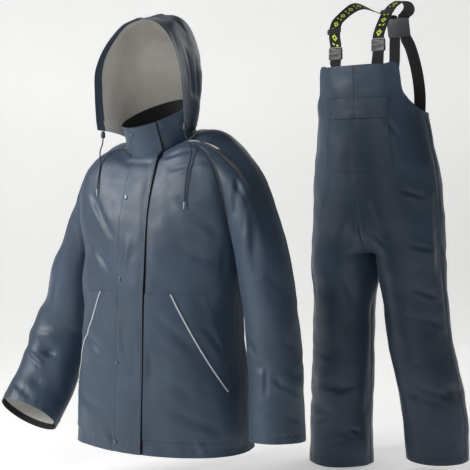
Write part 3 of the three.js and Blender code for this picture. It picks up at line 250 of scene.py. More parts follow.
def brace_webbing(pattern):
    """Woven elastic webbing: black ribs across it every 1.5 mm, a woven lime figure on the outer face."""
    finish = "woven_elastic_webbing" + ("_figured" if pattern else "")
    material, tree, bsdf = new_material(finish, 0.82, "15161a")
    uv = uv_in_mm(tree)
    parts = add_node(tree, "ShaderNodeSeparateXYZ", _0=uv)
    across, along = parts.outputs[0], parts.outputs[1]

    def calc(kind, a, b=None, c=None):
        values = {"_0": a}
        if b is not None:
            values["_1"] = b
        if c is not None:
            values["_2"] = c
        return add_node(tree, "ShaderNodeMath", {"operation": kind}, **values).outputs[0]

    ribs = calc("SINE", calc("MULTIPLY", along, 2 * math.pi / 1.5))
    dark = colour_between(tree, noise_at(tree, uv, 0.4), "111215", "1d1f24", 0.3, 0.7)
    if pattern:
        # 52 mm repeat: one lozenge, then two small dots side by side
        repeat = calc("SUBTRACT", calc("MODULO", calc("ADD", along, 5200.0), 52.0), 26.0)
        off_middle = calc("ABSOLUTE", across)
        lozenge = calc("ADD", calc("DIVIDE", calc("ABSOLUTE", calc("ADD", repeat, 10.0)), 12.0),
                       calc("DIVIDE", off_middle, 9.0))
        hollow = calc("MULTIPLY", calc("LESS_THAN", lozenge, 1.0), calc("GREATER_THAN", lozenge, 0.42))
        from_dot = calc("SUBTRACT", repeat, 14.0)
        beside = calc("SUBTRACT", off_middle, 6.0)
        squares = calc("ADD", calc("MULTIPLY", from_dot, from_dot), calc("MULTIPLY", beside, beside))
        radius = calc("SQRT", squares)
        figure = calc("MAXIMUM", hollow, calc("LESS_THAN", radius, 3.6))
        mix = add_node(tree, "ShaderNodeMix", {"data_type": "RGBA"})
        tree.links.new(figure, mix.inputs[0])
        tree.links.new(dark, mix.inputs[6])
        mix.inputs[7].default_value = linear("cfe04a")
        tree.links.new(mix.outputs[2], bsdf.inputs["Base Color"])
    else:
        tree.links.new(dark, bsdf.inputs["Base Color"])
    bump_on(tree, bsdf, ribs, 0.0002, 0.6)
    return material


def moulded_acetal():
    """Injection-moulded acetal: dark grey, slightly waxy, with a fine spark-eroded grain."""
    material, tree, bsdf = new_material("moulded_acetal", 0.42, "3a3c40", IOR=1.48)
    place = add_node(tree, "ShaderNodeTexCoord").outputs["Object"]
    bump_on(tree, bsdf, noise_at(tree, place, 900.0, 2.0), 0.0001, 0.35)
    rough = add_node(tree, "ShaderNodeMapRange", Value=noise_at(tree, place, 40.0), To_Min=0.34, To_Max=0.52)
    tree.links.new(rough.outputs["Result"], bsdf.inputs["Roughness"])
    return material


def enamelled_brass():
    """Press-snap caps stamped in brass and stoved in slate enamel: smooth, glossier than the cloth."""
    material, tree, bsdf = new_material("stoved_enamel_on_brass", 0.38, "3c4754", 0.25, Coat_Weight=0.3)
    place = add_node(tree, "ShaderNodeTexCoord").outputs["Object"]
    coloured(tree, bsdf, noise_at(tree, place, 120.0), "35404c", "465261", 0.3, 0.7)
    return material


def braided_cord():
    """Braided polyester cord: a navy basket of strands about 1 mm wide."""
    material, tree, bsdf = new_material("braided_polyester_cord", 0.75, "1d2836")
    uv = uv_in_mm(tree)
    diagonal = {"bands_direction": "DIAGONAL"}
    one = add_node(tree, "ShaderNodeTexWave", diagonal, Vector=uv, Scale=0.3, Distortion=0.2)
    coloured(tree, bsdf, one.outputs["Fac"], "141c28", "2b3a4c")
    bump_on(tree, bsdf, one.outputs["Fac"], 0.0003, 0.8)
    return material


def moulded_tip():
    """Injection-moulded cord tip: pale translucent grey plastic."""
    material, tree, bsdf = new_material("moulded_cord_tip", 0.4, "9ba1a6")
    place = add_node(tree, "ShaderNodeTexCoord").outputs["Object"]
    bump_on(tree, bsdf, noise_at(tree, place, 600.0), 0.0001, 0.3)
    return material


def zip_plastic():
    """Moulded zip teeth and slider: black polyoxymethylene with a low sheen."""
    material, tree, bsdf = new_material("moulded_zip_teeth", 0.45, "1b1d21")
    place = add_node(tree, "ShaderNodeTexCoord").outputs["Object"]
    bump_on(tree, bsdf, noise_at(tree, place, 800.0), 0.0001, 0.3)
    return material


CLOTH = coated_cloth()
BACKING = knit_backing()
FACING = dark_facing()
THREAD = sewing_thread()
PIPING = reflective_piping()
WEBBING = brace_webbing(False)
FIGURED = brace_webbing(True)
ACETAL = moulded_acetal()
ENAMEL = enamelled_brass()
BRAID = braided_cord()
TIP = moulded_tip()
TEETH = zip_plastic()

# ---- Form: the same rings and sections as the solids, read finely ----

JACKET_TURN = -30
TROUSERS_TURN = -33
TROUSERS_PLACE = (645, 422, 0)
UNDERARM_Z = -285
HEM_Z = -790
POWER = 0.9


def mix(a, b, t):
    return a + (b - a) * t


def ease(start, end, v):
    t = np.clip((np.asarray(v, float) - start) / (end - start), 0, 1)
    return t * t * (3 - 2 * t)


def across(t):
    return np.sin(np.asarray(t) * np.pi / 2) ** POWER


def along(t):
    return np.maximum(0, np.cos(np.asarray(t) * np.pi / 2)) ** POWER


def across_inverse(f):
    return np.arcsin(np.clip(f, 0, 1) ** (1 / POWER)) / (np.pi / 2)


def table(rows):
    """A table read smoothly between its rows; the first column is the key."""
    rows = np.array(rows, float)
    last = len(rows) - 1
    sign = 1 if rows[last, 0] > rows[0, 0] else -1
    keys = sign * rows[:, 0]
    slopes = np.empty_like(rows)
    for j in range(last + 1):
        a, b = max(0, j - 1), min(last, j + 1)
        slopes[j] = (rows[b] - rows[a]) / (rows[b, 0] - rows[a, 0])

    def read(key):
        key = np.asarray(key, float)
        i = np.searchsorted(keys[1:last], sign * key, side="left")
        h = rows[i + 1, 0] - rows[i, 0]
        t = np.clip((key - rows[i, 0]) / h, 0, 1)[..., None]
        h = h[..., None]
        out = (
            rows[i] * (2 * t**3 - 3 * t**2 + 1)
            + rows[i + 1] * (3 * t**2 - 2 * t**3)
            + slopes[i] * h * (t**3 - 2 * t**2 + t)
            + slopes[i + 1] * h * (t**3 - t**2)
        )
        return np.moveaxis(out, -1, 0)

    return read


def fold_height(folds, p):
    """Soft troughs (depth below 0) and ridges, each between two places: x1 y1 z1 x2 y2 z2 width depth."""
    height = np.zeros(p.shape[:-1])
    for row in folds:
        start, end = np.array(row[0:3], float), np.array(row[3:6], float)
        width, depth = row[6], row[7]
        run = end - start
        t = np.clip(((p - start) @ run) / (run @ run), 0, 1)
        distance = np.linalg.norm(start + t[..., None] * run - p, axis=-1) / width
        height += depth * np.exp(-distance**2) * (0.55 + 0.45 * np.sin(np.pi * t))
    return height


def unit(v):
    return v / np.maximum(1e-9, np.linalg.norm(v, axis=-1, keepdims=True))


def stack(x, y, z):
    return np.stack(np.broadcast_arrays(*[np.asarray(v, float) for v in (x, y, z)]), -1)


NECK = {"half_width": 100, "half_depth": 86, "y": 6, "z": 14, "drop": 36, "arch": 12}


def neck_point(angle):
    c, s = np.cos(np.radians(angle)), np.sin(np.radians(angle))
    return stack(
        NECK["half_width"] * s,
        NECK["y"] - NECK["half_depth"] * c,
        NECK["z"] - NECK["drop"] * c + NECK["arch"] * s * s,
    )


# q, then front seam x y z, back seam x y z, front middle y z, back middle y z
yoke = table([
    [0, 86.6, -37, 5, 71.9, 65.7, 45.2, -80, -22, 92, 50],
    [0.15, 138, -50, 4, 125, 78, 24, -96, -60, 118, 20],
    [0.3, 180, -62, -20, 172, 88, -10, -108, -95, 134, -20],
    [0.45, 211, -72, -56, 212, 92, -55, -117, -130, 146, -65],
    [0.6, 228, -72, -104, 234, 88, -108, -124, -168, 156, -115],
    [0.75, 236, -62, -155, 242, 76, -165, -130, -205, 163, -170],
    [0.9, 240, -36, -220, 245, 50, -228, -135, -250, 169, -230],
    [1, 240, 15, UNDERARM_Z, 240, 15, UNDERARM_Z, -138, UNDERARM_Z, 172, UNDERARM_Z],
])
# z, half width, side y, front y, back y
trunk = table([
    [UNDERARM_Z, 240, 15, -138, 172],
    [-367, 236, 15, -144, 171],
    [-434, 229, 14, -147, 167],
    [-505, 233, 14, -149, 168],
    [-574, 242, 14, -151, 172],
    [-661, 254, 13, -154, 179],
    [-779, 262, 12, -157, 184],
    [HEM_Z, 264, 12, -158, 185],
])
LARGE_JACKET_FOLDS = [
    [70, -140, -300, 120, -120, -395, 26, -5],
    [-90, -135, -330, -150, -105, -420, 24, -5],
    [212, -62, -470, 236, -40, -640, 30, 4],
    [-212, -62, -470, -236, -40, -620, 30, -4],
    [60, 165, -240, 150, 130, -380, 34, -6],
    [-60, 165, -260, -150, 130, -400, 34, -6],
    [0, 170, -420, 120, 140, -560, 34, 5],
    [-20, 175, -560, -150, 130, -680, 36, -5],
]


def lean(p):
    p = p.copy()
    body = ease(-420, -60, p[..., 2])
    collar = ease(0, 80, p[..., 2])
    p[..., 2] += 0.06 * p[..., 0] * (body + collar)
    drawn = np.clip(-p[..., 0] / 250, 0, 1) * ease(-360, -230, p[..., 2])
    p[..., 0] += 26 * drawn**2
    p[..., 0] += 12 * np.clip(-p[..., 0] / 250, 0, 1) ** 2 * ease(-520, -780, p[..., 2])
    return p


def side_of(q, front):
    q = np.asarray(q, float)
    s = yoke(q)
    return np.where(q >= 1, trunk(mix(UNDERARM_Z, HEM_Z, q - 1))[1], s[1] if front else s[4])


def body_point(q, x, front):
    q, x = np.broadcast_arrays(np.asarray(q, float), np.asarray(x, float))
    s = yoke(q)
    z_low = mix(UNDERARM_Z, HEM_Z, q - 1)
    t = trunk(z_low)
    up = q < 1
    k = 0 if front else 3
    side_x = np.where(up, s[1 + k], t[1])
    side_y = np.where(up, s[2 + k], t[2])
    side_z = np.where(up, s[3 + k], z_low)
    mid_y = np.where(up, s[7] if front else s[9], t[3] if front else t[4])
    mid_z = np.where(up, s[8] if front else s[10], z_low)
    f = np.clip(np.abs(x) / side_x, 0, 1)
    bow = 1 - along(across_inverse(f))
    p = stack(x, mix(mid_y, side_y, bow), mix(mid_z, side_z, f**1.5))
    on_neck = np.maximum(0, 1 - q / 0.15)[..., None] ** 2
    angle = np.degrees(np.arcsin(np.clip(x / NECK["half_width"], -1, 1)))
    p = mix(p, neck_point(angle if front else 180 - angle), on_neck)
    outward = unit(stack(p[..., 0], p[..., 1] - side_y, 0 * q))
    return p + outward * (fold_height(LARGE_JACKET_FOLDS, p) * ease(1, 1.1, q))[..., None]


# s, middle x y z, half width, half depth, turn, further down at the back
ARMS = {
    "left": table([
        [0, 323, 3, -335, 69, 74, 0, 0],
        [0.15, 333, 3, -395, 68, 73, 0, 0],
        [0.3, 343, 0, -452, 70, 73, 0, 0],
        [0.45, 351, -2, -512, 71, 73, 0, 0],
        [0.65, 358, -6, -600, 72, 73, 0, 0],
        [0.85, 362, -10, -685, 72, 73, 0, 0],
        [1, 365, -13, -743, 73, 73, 0, 0],
    ]),
    "right": table([
        [0, -315, 36, -340, 68, 76, 0, 0],
        [0.15, -332, 46, -400, 72, 74, 8, 0],
        [0.3, -352, 53, -450, 78, 70, 18, 0],
        [0.45, -374, 52, -500, 84, 66, 28, 0],
        [0.65, -387, 30, -565, 86, 60, 30, 0],
        [0.85, -396, -10, -648, 86, 58, 30, 10],
        [1, -410, -66, -732, 86, 57, 30, 30],
    ]),
}
LARGE_SLEEVE_FOLDS = {
    "left": [
        [280, -90, -200, 262, -55, -300, 16, -12],
        [306, -80, -150, 290, -75, -300, 18, 9],
        [330, -75, -190, 335, -75, -330, 14, -9],
        [300, -70, -500, 395, -45, -545, 13, -9],
        [345, -80, -545, 420, -20, -570, 14, -8],
        [400, 40, -420, 300, 70, -520, 18, -7],
        [420, 10, -620, 320, 70, -650, 20, -6],
    ],
    "right": [
        [-290, -60, -190, -270, -30, -300, 18, -10],
        [-450, -5, -520, -320, -30, -530, 17, 9],
        [-460, -10, -560, -320, -40, -572, 11, -15],
        [-460, -30, -625, -380, -70, -650, 14, -7],
        [-420, 100, -420, -320, 120, -480, 20, -7],
        [-440, 60, -600, -340, 80, -640, 18, -6],
    ],
}
TOP_ANGLE = 24
FRONT_SEAM_ANGLE = 60
BACK_SEAM_ANGLE = 134


def arm_point(arm, s, angle, sign, folds):
    s = np.asarray(s, float)
    _, x, y, z, wide, deep, turn, tilt = arm(s)
    before, after = arm(np.maximum(0, s - 0.02)), arm(np.minimum(1, s + 0.02))
    down = unit(np.moveaxis((after - before)[1:4], 0, -1))
    turn = np.radians(turn)
    outer = stack(sign * np.cos(turn), -np.sin(turn), 0)
    outer = unit(outer - down * np.sum(outer * down, -1, keepdims=True))
    front = unit(np.cross(down, outer))
    front = np.where(front[..., 1:2] > 0, -front, front)
    c, n = np.cos(np.radians(angle)), np.sin(np.radians(angle))
    spoke = outer * (wide * c)[..., None] + front * (deep * n)[..., None]
    p = stack(x, y, z) + spoke + down * (tilt * (1 - n) / 2)[..., None]
    return p + unit(spoke) * (fold_height(folds, p) * ease(0, 0.08, s))[..., None]


YOKE_Q = np.linspace(0, 1, 49)
NECK_ARC = 12
SHOULDER_ROWS = 34
ARM_ROWS = 92


def sleeve_points(side):
    sign = HANDS[side]
    arm, folds = ARMS[side], LARGE_SLEEVE_FOLDS[side]
    seam = {front: body_point(YOKE_Q, sign * side_of(YOKE_Q, front), front) for front in (True, False)}
    arc = neck_point(np.linspace(BACK_SEAM_ANGLE, FRONT_SEAM_ANGLE, NECK_ARC + 1)[1:-1]) * [sign, 1, 1]
    ring = np.concatenate([seam[True], seam[False][::-1][1:], arc])
    n = len(YOKE_Q) - 1
    travel = np.concatenate([[0], np.cumsum(np.linalg.norm(np.diff(ring[: 2 * n + 1], axis=0), axis=1))])
    half = travel[n]
    angles = np.where(
        np.arange(2 * n + 1) <= n,
        mix(TOP_ANGLE, 180, travel / half),
        mix(180, 360 - TOP_ANGLE, (travel - half) / (travel[-1] - half)),
    )
    turns = np.arange(1, NECK_ARC) / NECK_ARC
    angles = np.concatenate([angles, mix(360 - TOP_ANGLE, 360 + TOP_ANGLE, turns)])
    end = arm_point(arm, np.zeros(len(angles)), angles, sign, folds)
    a, b = arm(np.array(0.0)), arm(np.array(0.02))
    down = unit((b - a)[1:4])
    out = unit(np.array([sign, 0, 0.3]))
    reach = np.linalg.norm(ring - end, axis=1, keepdims=True)
    under = ((1 - np.cos(np.radians(angles % 360))) / 2)[:, None]
    leave = unit(mix(out, unit(end - ring), under**0.6))
    p1 = ring + leave * reach * 0.3
    p2 = end - down * reach * 0.42
    rows = [ring]
    for t in np.linspace(0, 1, SHOULDER_ROWS + 1)[1:]:
        p = ring * (1 - t) ** 3 + p1 * 3 * t * (1 - t) ** 2 + p2 * 3 * t * t * (1 - t) + end * t**3
        outward = unit(stack(p[:, 0] - sign * 190, p[:, 1], p[:, 2] + 260))
        fade = ease(0, 0.35, t) * ease(1.15, 0.8, t)
        rows.append(p + outward * (fold_height(folds, p) * fade)[:, None])
    for t in np.linspace(0, 1, ARM_ROWS + 1)[1:]:
        rows.append(arm_point(arm, np.full(len(angles), t), angles, sign, folds))
    return lean(np.array(rows)), angles


def collar_point(base, t):
    """From the neck seam (t 0) to the collar's top edge (t 1)."""
    angle = np.arctan2(base[..., 0] / NECK["half_width"], -(base[..., 1] - NECK["y"]) / NECK["half_depth"])
    y = -18 - 93 * np.cos(angle)
    top = stack(92 * np.sin(angle), y, 104 + 0.45 * y)
    top[..., 2] += 0.12 * top[..., 0]
    t = np.asarray(t)[..., None]
    inward = stack(-np.sin(angle), np.cos(angle), 0 * angle)
    return mix(base, top, t) + inward * 3 * np.sin(np.pi * t)


# v, face edge x y z, side x y z, back y z
hood_section = table([
    [0, 139, -91, 58, 103, 6, 36, 95, 59],
    [0.15, 138, -98, 95, 113, -6, 78, 104, 90],
    [0.35, 136, -106, 152, 119, -10, 140, 112, 150],
    [0.55, 131, -109, 210, 117, -10, 205, 112, 210],
    [0.7, 112, -108, 256, 108, -10, 262, 104, 262],
    [0.82, 86, -106, 293, 88, -8, 312, 90, 302],
    [0.92, 51, -104, 322, 57, -5, 346, 72, 330],
    [1, 0, -102, 338, 0, 0, 364, 52, 342],
])
HOOD_STRAIGHT = 0.4


def hood_form(u, v, sign):
    u, v = np.broadcast_arrays(np.asarray(u, float), np.asarray(v, float))
    _, fx, fy, fz, sx, sy, sz, by, bz = hood_section(v)
    t = np.clip(u / HOOD_STRAIGHT, 0, 1)
    straight = stack(mix(fx, sx, t * (2 - t)), mix(fy, sy, t), mix(fz, sz, t**1.4))
    t = np.clip((u - HOOD_STRAIGHT) / (1 - HOOD_STRAIGHT), 0, 1)
    bent = stack(sx * along(t) ** 1.1, mix(sy, by, across(t) ** 1.1), mix(sz, bz, 1 - along(t) ** 1.15))
    bent[..., 0] = np.where(t >= 1, 0, bent[..., 0])
    p = np.where((u < HOOD_STRAIGHT)[..., None], straight, bent)
    p[..., 0] *= sign
    p[..., 2] += 0.05 * p[..., 0]
    return p


def hood_seat(t, sign):
    foot = neck_point(mix(90, 180, t))
    foot[..., 0] *= sign
    p = collar_point(lean(foot), np.full(np.shape(t), 0.13))
    p = p + unit(stack(p[..., 0], p[..., 1] - NECK["y"], 0)) * 2.4
    p[..., 0] = np.where(t >= 1, 0, p[..., 0])
    return p


def hood_point(u, v, sign):
    u, v = np.broadcast_arrays(np.asarray(u, float), np.asarray(v, float))
    p = hood_form(u, v, sign)
    near = np.maximum(0, 1 - v / 0.3) ** 2
    t = np.maximum(0, (u - HOOD_STRAIGHT) / (1 - HOOD_STRAIGHT))
    forward = np.minimum(1, u / HOOD_STRAIGHT) ** 3
    shift = hood_seat(t, sign) - hood_form(np.maximum(u, HOOD_STRAIGHT), np.zeros_like(u), sign)
    return p + shift * (near * forward)[..., None]


# Trousers: z, right half, left half, front y, side y, back y
BIB_TOP = 262
SEAT_LINE = -120
CROTCH_Y, CROTCH_Z = 15, -300
trunks = table([
    [BIB_TOP, 180, 178, -171, -48, 75],
    [200, 179, 173, -165, -38, 82],
    [125, 180, 165, -158, -26, 91],
    [60, 186, 174, -153, -16, 106],
    [-47, 200, 194, -150, -5, 133],
    [-145, 205, 203, -148, -2, 142],
    [-233, 207, 207, -146, 0, 145],
    [-330, 206, 206, -140, 0, 142],
])
# z, middle x y, half width, half depth
LEGS = {
    "right": table([
        [-200, -106, 0, 100, 124],
        [-330, -110, 0, 98, 118],
        [-415, -116, 2, 96, 108],
        [-586, -117, 2, 95, 105],
        [-728, -121, 0, 100, 106],
        [-879, -121, 0, 98, 106],
        [-963, -123, 0, 100, 107],
    ]),
    "left": table([
        [-200, 104, 0, 100, 124],
        [-330, 110, 4, 98, 118],
        [-415, 119, 8, 97, 110],
        [-500, 129, 10, 96, 106],
        [-561, 137, 10, 96, 104],
        [-640, 154, 12, 97, 104],
        [-724, 173, 12, 97, 103],
        [-820, 186, 14, 96, 102],
        [-918, 194, 14, 94, 100],
    ]),
}
LEG_HEM = {"right": -963, "left": -918}
front_top = table([
    [0, BIB_TOP], [0.3, BIB_TOP], [0.49, BIB_TOP - 4], [0.55, 192],
    [0.64, 166], [0.72, 152], [0.86, 134], [1, 127],
])
back_top = table([[0, 122], [0.5, 124], [1, 127]])
LARGE_TROUSER_FOLDS = {
    "right": [
        [-190, -70, -700, -60, -105, -712, 16, -9],
        [-215, -40, -760, -120, -105, -790, 16, -8],
        [-80, -110, -850, -20, -60, -862, 14, -7],
        [-200, 60, -700, -80, 110, -730, 20, -8],
        [-60, -130, -330, -110, -115, -520, 30, 5],
    ],
    "left": [
        [200, -60, -120, 236, -50, -480, 16, 8],
        [215, -30, -130, 246, -10, -500, 16, -9],
        [228, -40, -440, 262, 40, -452, 16, -9],
        [240, -30, -540, 262, 60, -552, 14, -7],
        [250, -40, -700, 290, 50, -720, 18, -8],
        [120, -95, -700, 250, -70, -730, 20, -6],
    ],
}
BIB_ROWS, RISE_ROWS, LEG_ROWS = 66, 40, 110


def trouser_rows(hem):
    """For each row: share of the way from the top, heights at inner edge and outseam, angle of the rise."""
    rows = [[t, SEAT_LINE, SEAT_LINE, 0.0] for t in np.linspace(0, 1, BIB_ROWS + 1)]
    for t in np.linspace(0, 1, RISE_ROWS + 1)[1:]:
        turn = t * np.pi / 2
        rows.append([1, mix(SEAT_LINE, CROTCH_Z, np.sin(turn)), mix(SEAT_LINE, CROTCH_Z, t), turn])
    for t in np.linspace(0, 1, LEG_ROWS + 1)[1:]:
        z = mix(CROTCH_Z, hem, t)
        rows.append([1, z, z, -1])
    return np.array(rows)


def trouser_point(side, front, rows, v):
    sign = HANDS[side]
    top = (front_top(v) if front else back_top(v))[1]
    from_top, inner, outer, rise = [rows[:, i, None] for i in range(4)]
    v = v[None, :]
    level = mix(inner, outer, ease(0, 0.7, v))
    z = np.where(from_top < 1, mix(top[None, :], SEAT_LINE, from_top), level)
    _, right, left, front_y, side_y, back_y = trunks(z)
    _, leg_x, leg_y, wide, deep = LEGS[side](z)
    middle = front_y if front else back_y
    half = left if side == "left" else right
    power = mix(0.68, 1, ease(-290, -460, z))
    facing = -1 if front else 1
    share = ease(-150, -330, z)[..., None]

    def on_leg(a):
        return stack(leg_x - sign * wide * np.cos(a), leg_y + facing * deep * np.abs(np.sin(a)) ** power, z)

    on_body = stack(sign * half * across(v), mix(middle, side_y, 1 - along(v)), z)
    p = mix(on_body, on_leg(v * np.pi), share)
    start = trunks(np.array(float(SEAT_LINE)))[3 if front else 5]
    turned = np.maximum(0, np.cos(np.clip(rise, 0, np.pi / 2))) ** 0.55
    seam_y = np.where(rise == 0, middle, mix(CROTCH_Y, start, turned))
    inside = on_leg(0 * z)
    apart = 0.15 * ease(CROTCH_Z, CROTCH_Z - 50, z) + 0.85 * ease(CROTCH_Z - 70, CROTCH_Z - 190, z)
    below = rise < 0
    seam = stack(
        np.where(below, inside[..., 0] * apart, 0),
        np.where(below, mix(CROTCH_Y, inside[..., 1], apart), seam_y),
        z,
    )
    plain = mix(stack(0 * z, middle, z), inside, share)
    reach = np.where(below, 9, mix(3, 9, np.clip(rise, 0, None) / (np.pi / 2)))
    p = p + (seam - plain) * ((1 - v) ** reach)[..., None]
    from_middle = p[..., 0] - mix(0, leg_x, share[..., 0])
    from_side = p[..., 1] - mix(side_y, leg_y, share[..., 0])
    outward = unit(stack(from_middle, from_side, 0))
    return p + outward * (fold_height(LARGE_TROUSER_FOLDS[side], p) * ease(0, 0.2, v))[..., None]

# ---- Meshes from sheets of points ----


def world(points, garment):
    """From a garment's own upright frame in millimetres to the shared frame in metres."""
    turn = math.radians(JACKET_TURN if garment == "jacket" else TROUSERS_TURN)
    c, s = math.cos(turn), math.sin(turn)
    p = np.asarray(points, float)
    out = np.stack([c * p[..., 0] - s * p[..., 1], s * p[..., 0] + c * p[..., 1], p[..., 2]], -1)
    return (out + (TROUSERS_PLACE if garment == "trousers" else (0, 0, 0))) * MM


def turned(directions, garment):
    return (world(directions, garment) - world((0, 0, 0), garment)) / MM


def in_photo(points, garment):
    """Where points fall in the photograph, in pixels, and how far along the view they lie."""
    away = world(points, garment) - CAMERA_AT
    c, s = math.cos(CAMERA_TILT), math.sin(CAMERA_TILT)
    depth = away[..., 1] * c - away[..., 2] * s
    up = away[..., 2] * c + away[..., 1] * s
    half = PHOTO_SIDE / 2
    return np.stack([half + FOCAL_PIXELS * away[..., 0] / depth, half - FOCAL_PIXELS * up / depth], -1), away


def sheet_normals(grid, closed=False, flip=False):
    """Outward normals, shared between neighbours by area, so that crowded points don't turn theirs inward."""
    g = np.concatenate([grid[:, -1:], grid, grid[:, :1]], 1) if closed else grid
    n = np.cross(np.gradient(g, axis=0), np.gradient(g, axis=1))
    n = n[:, 1:-1] if closed else n
    for _ in range(3):
        wide = np.pad(n, ((0, 0), (1, 1), (0, 0)), mode="wrap" if closed else "edge")
        n = (wide[:, :-2] + 2 * wide[:, 1:-1] + wide[:, 2:]) / 4
    size = np.linalg.norm(n, axis=-1, keepdims=True)
    for _ in range(4):
        bad = size[..., 0] < 1e-6
        if not bad.any():
            break
        n = np.where(bad[..., None], np.roll(n, 1, axis=0) + np.roll(n, -1, axis=0), n)
        size = np.linalg.norm(n, axis=-1, keepdims=True)
    return unit(n) * (-1 if flip else 1)


def spans(grid, axis, closed=False):
    """Length run along each row (axis 1) or column (axis 0), starting from 0."""
    g = np.concatenate([grid, grid[:, :1]], 1) if closed and axis == 1 else grid
    step = np.linalg.norm(np.diff(g, axis=axis), axis=-1)
    pad = [(0, 0), (0, 0)]
    pad[axis] = (1, 0)
    return np.pad(np.cumsum(step, axis=axis), pad)


def spaced(length, step=5.0, edge=(1.6, 3.6)):
    """Shares of a length, evenly apart but closer together at both ends."""
    inner = np.linspace(0, 1, max(3, int(round(length / step))) + 1)
    ends = np.array(edge) / length
    return np.unique(np.concatenate([inner, ends, 1 - ends]))


def new_mesh(name, points, faces, slots, materials, uv=None):
    mesh = bpy.data.meshes.new(name)
    mesh.from_pydata([tuple(p) for p in points], [], [tuple(f) for f in faces])
    mesh.polygons.foreach_set("material_index", np.asarray(slots, np.int32))
    mesh.polygons.foreach_set("use_smooth", np.ones(len(faces), bool))
    for material in materials:
        mesh.materials.append(material)
    if uv is not None:
        layer = mesh.uv_layers.new(name="cloth")
        layer.data.foreach_set("uv", np.asarray(uv, np.float32).ravel())
    mesh.set_sharp_from_angle(angle=math.radians(52))
    return linked(name, mesh)


def faced_outward(mesh):
    work = bmesh.new()
    work.from_mesh(mesh)
    bmesh.ops.recalc_face_normals(work, faces=work.faces)
    work.to_mesh(mesh)
    work.free()


def shell(name, garment, grid, thick, materials, closed=False, flip=False, lift=0.0, inner_slots=None):
    """A thin closed wall on a sheet of points, its outer face `lift` above them. Slots: outside, inside."""
    normal = sheet_normals(grid, closed, flip)
    outer = grid + normal * (lift + (thick if lift > 0 else 0))
    inner = outer - normal * thick
    nv, nu = grid.shape[:2]
    down, over = spans(grid, 0), spans(grid, 1, closed)
    if closed:
        down = np.concatenate([down, down[:, :1]], 1)
    cols = nu if closed else nu - 1
    j, i = np.meshgrid(np.arange(nv - 1), np.arange(cols), indexing="ij")
    j, i = j.ravel(), i.ravel()
    k = (i + 1) % nu
    a, b, c, d = j * nu + i, (j + 1) * nu + i, (j + 1) * nu + k, j * nu + k
    base = nu * nv
    outer_faces = np.stack([a, b, c, d], 1)
    inner_faces = np.stack([a, d, c, b], 1) + base
    uv_a = np.stack([over[j, i], down[j, i]], 1)
    uv_b = np.stack([over[j + 1, i], down[j + 1, i]], 1)
    uv_c = np.stack([over[j + 1, i + 1], down[j + 1, i + 1]], 1)
    uv_d = np.stack([over[j, i + 1], down[j, i + 1]], 1)
    uvs = [np.stack([uv_a, uv_b, uv_c, uv_d], 1), np.stack([uv_a, uv_d, uv_c, uv_b], 1)]
    rim, rim_uv = [], []

    def edge(p, q, at_p, at_q):
        rim.append((p, q, q + base, p + base))
        rim_uv.append((at_p, at_q, at_q, at_p))

    def at(row, column):
        return (over[row, column], down[row, column])

    for i0 in range(cols):
        i1 = (i0 + 1) % nu
        edge(i1, i0, at(0, i0 + 1), at(0, i0))
        last = (nv - 1) * nu
        edge(last + i0, last + i1, at(nv - 1, i0), at(nv - 1, i0 + 1))
    if not closed:
        for j0 in range(nv - 1):
            edge(j0 * nu, (j0 + 1) * nu, at(j0, 0), at(j0 + 1, 0))
            edge((j0 + 1) * nu + nu - 1, j0 * nu + nu - 1, at(j0 + 1, nu - 1), at(j0, nu - 1))
    faces = np.concatenate([outer_faces, inner_faces, np.array(rim)])
    # the wall's edge faces the other way round from its outer face
    faces[2 * len(outer_faces):] = faces[2 * len(outer_faces):, ::-1]
    uv = np.concatenate([uvs[0], uvs[1], np.array(rim_uv)[:, ::-1]]) * MM
    if flip:
        faces, uv = faces[:, ::-1], uv[:, ::-1]
    inside = np.ones(len(inner_faces), int) if inner_slots is None else inner_slots(j, i)
    slots = np.concatenate([np.zeros(len(outer_faces), int), inside, np.zeros(len(rim), int)])
    points = world(np.concatenate([outer.reshape(-1, 3), inner.reshape(-1, 3)]), garment)
    return new_mesh(name, points, faces, slots, materials, uv)


def cut_of(grid, closed=False):
    """The size a sheet was cut to: its widest row, its longest column, and its area, in metres."""
    over, down = spans(grid, 1, closed), spans(grid, 0)
    g = np.concatenate([grid, grid[:, :1]], 1) if closed else grid
    sides = np.cross(g[1:, 1:] - g[:-1, :-1], g[1:, :-1] - g[:-1, 1:])
    area = np.linalg.norm(sides, axis=-1).sum() / 2
    width, length = round(over[:, -1].max() * MM, 3), round(down[-1].max() * MM, 3)
    return (width, length), round(min(area * 1e-6, 0.999 * width * length), 6)


def declare(obj, grid, nodes, closed=False):
    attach(obj, "root")
    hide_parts(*nodes)
    flat, area = cut_of(grid, closed)


def dress(piece, node, garment, grid, thick, materials, held, carrier, closed=False, flip=False, **wall):
    """A cloth wall on a sheet, attached to the root body in place of its node, which is hidden."""
    obj = shell(f"{piece}_cloth", garment, grid, thick, materials, closed, flip, **wall)
    declare(obj, grid, [node], closed)


# ---- Creases ----


def crease_height(creases, p, n):
    """Soft troughs, each with a lower ridge beside it: start, end, width, depth (above 0 for a ridge)."""
    height = np.zeros(p.shape[:-1])
    for start, end, width, depth in creases:
        run = end - start
        length = max(1.0, np.linalg.norm(run))
        along_it = run / length
        rel = p - start
        t = np.clip(rel @ along_it / length, 0, 1)
        off = rel - t[..., None] * run
        side = np.cross(along_it, n)
        signed = np.sum(off * side, -1) / width
        far = np.sum(off * off, -1) / width**2
        rest = np.maximum(0, far - signed**2)
        taper = 0.45 + 0.55 * np.sin(np.pi * t) ** 0.8
        wave = 1 + 0.2 * np.sin(7 * t + 0.13 * width + 0.011 * start[2])
        height += depth * taper * wave * (np.exp(-far) - 0.5 * np.exp(-((signed - 1.6) ** 2) - rest))
    return height


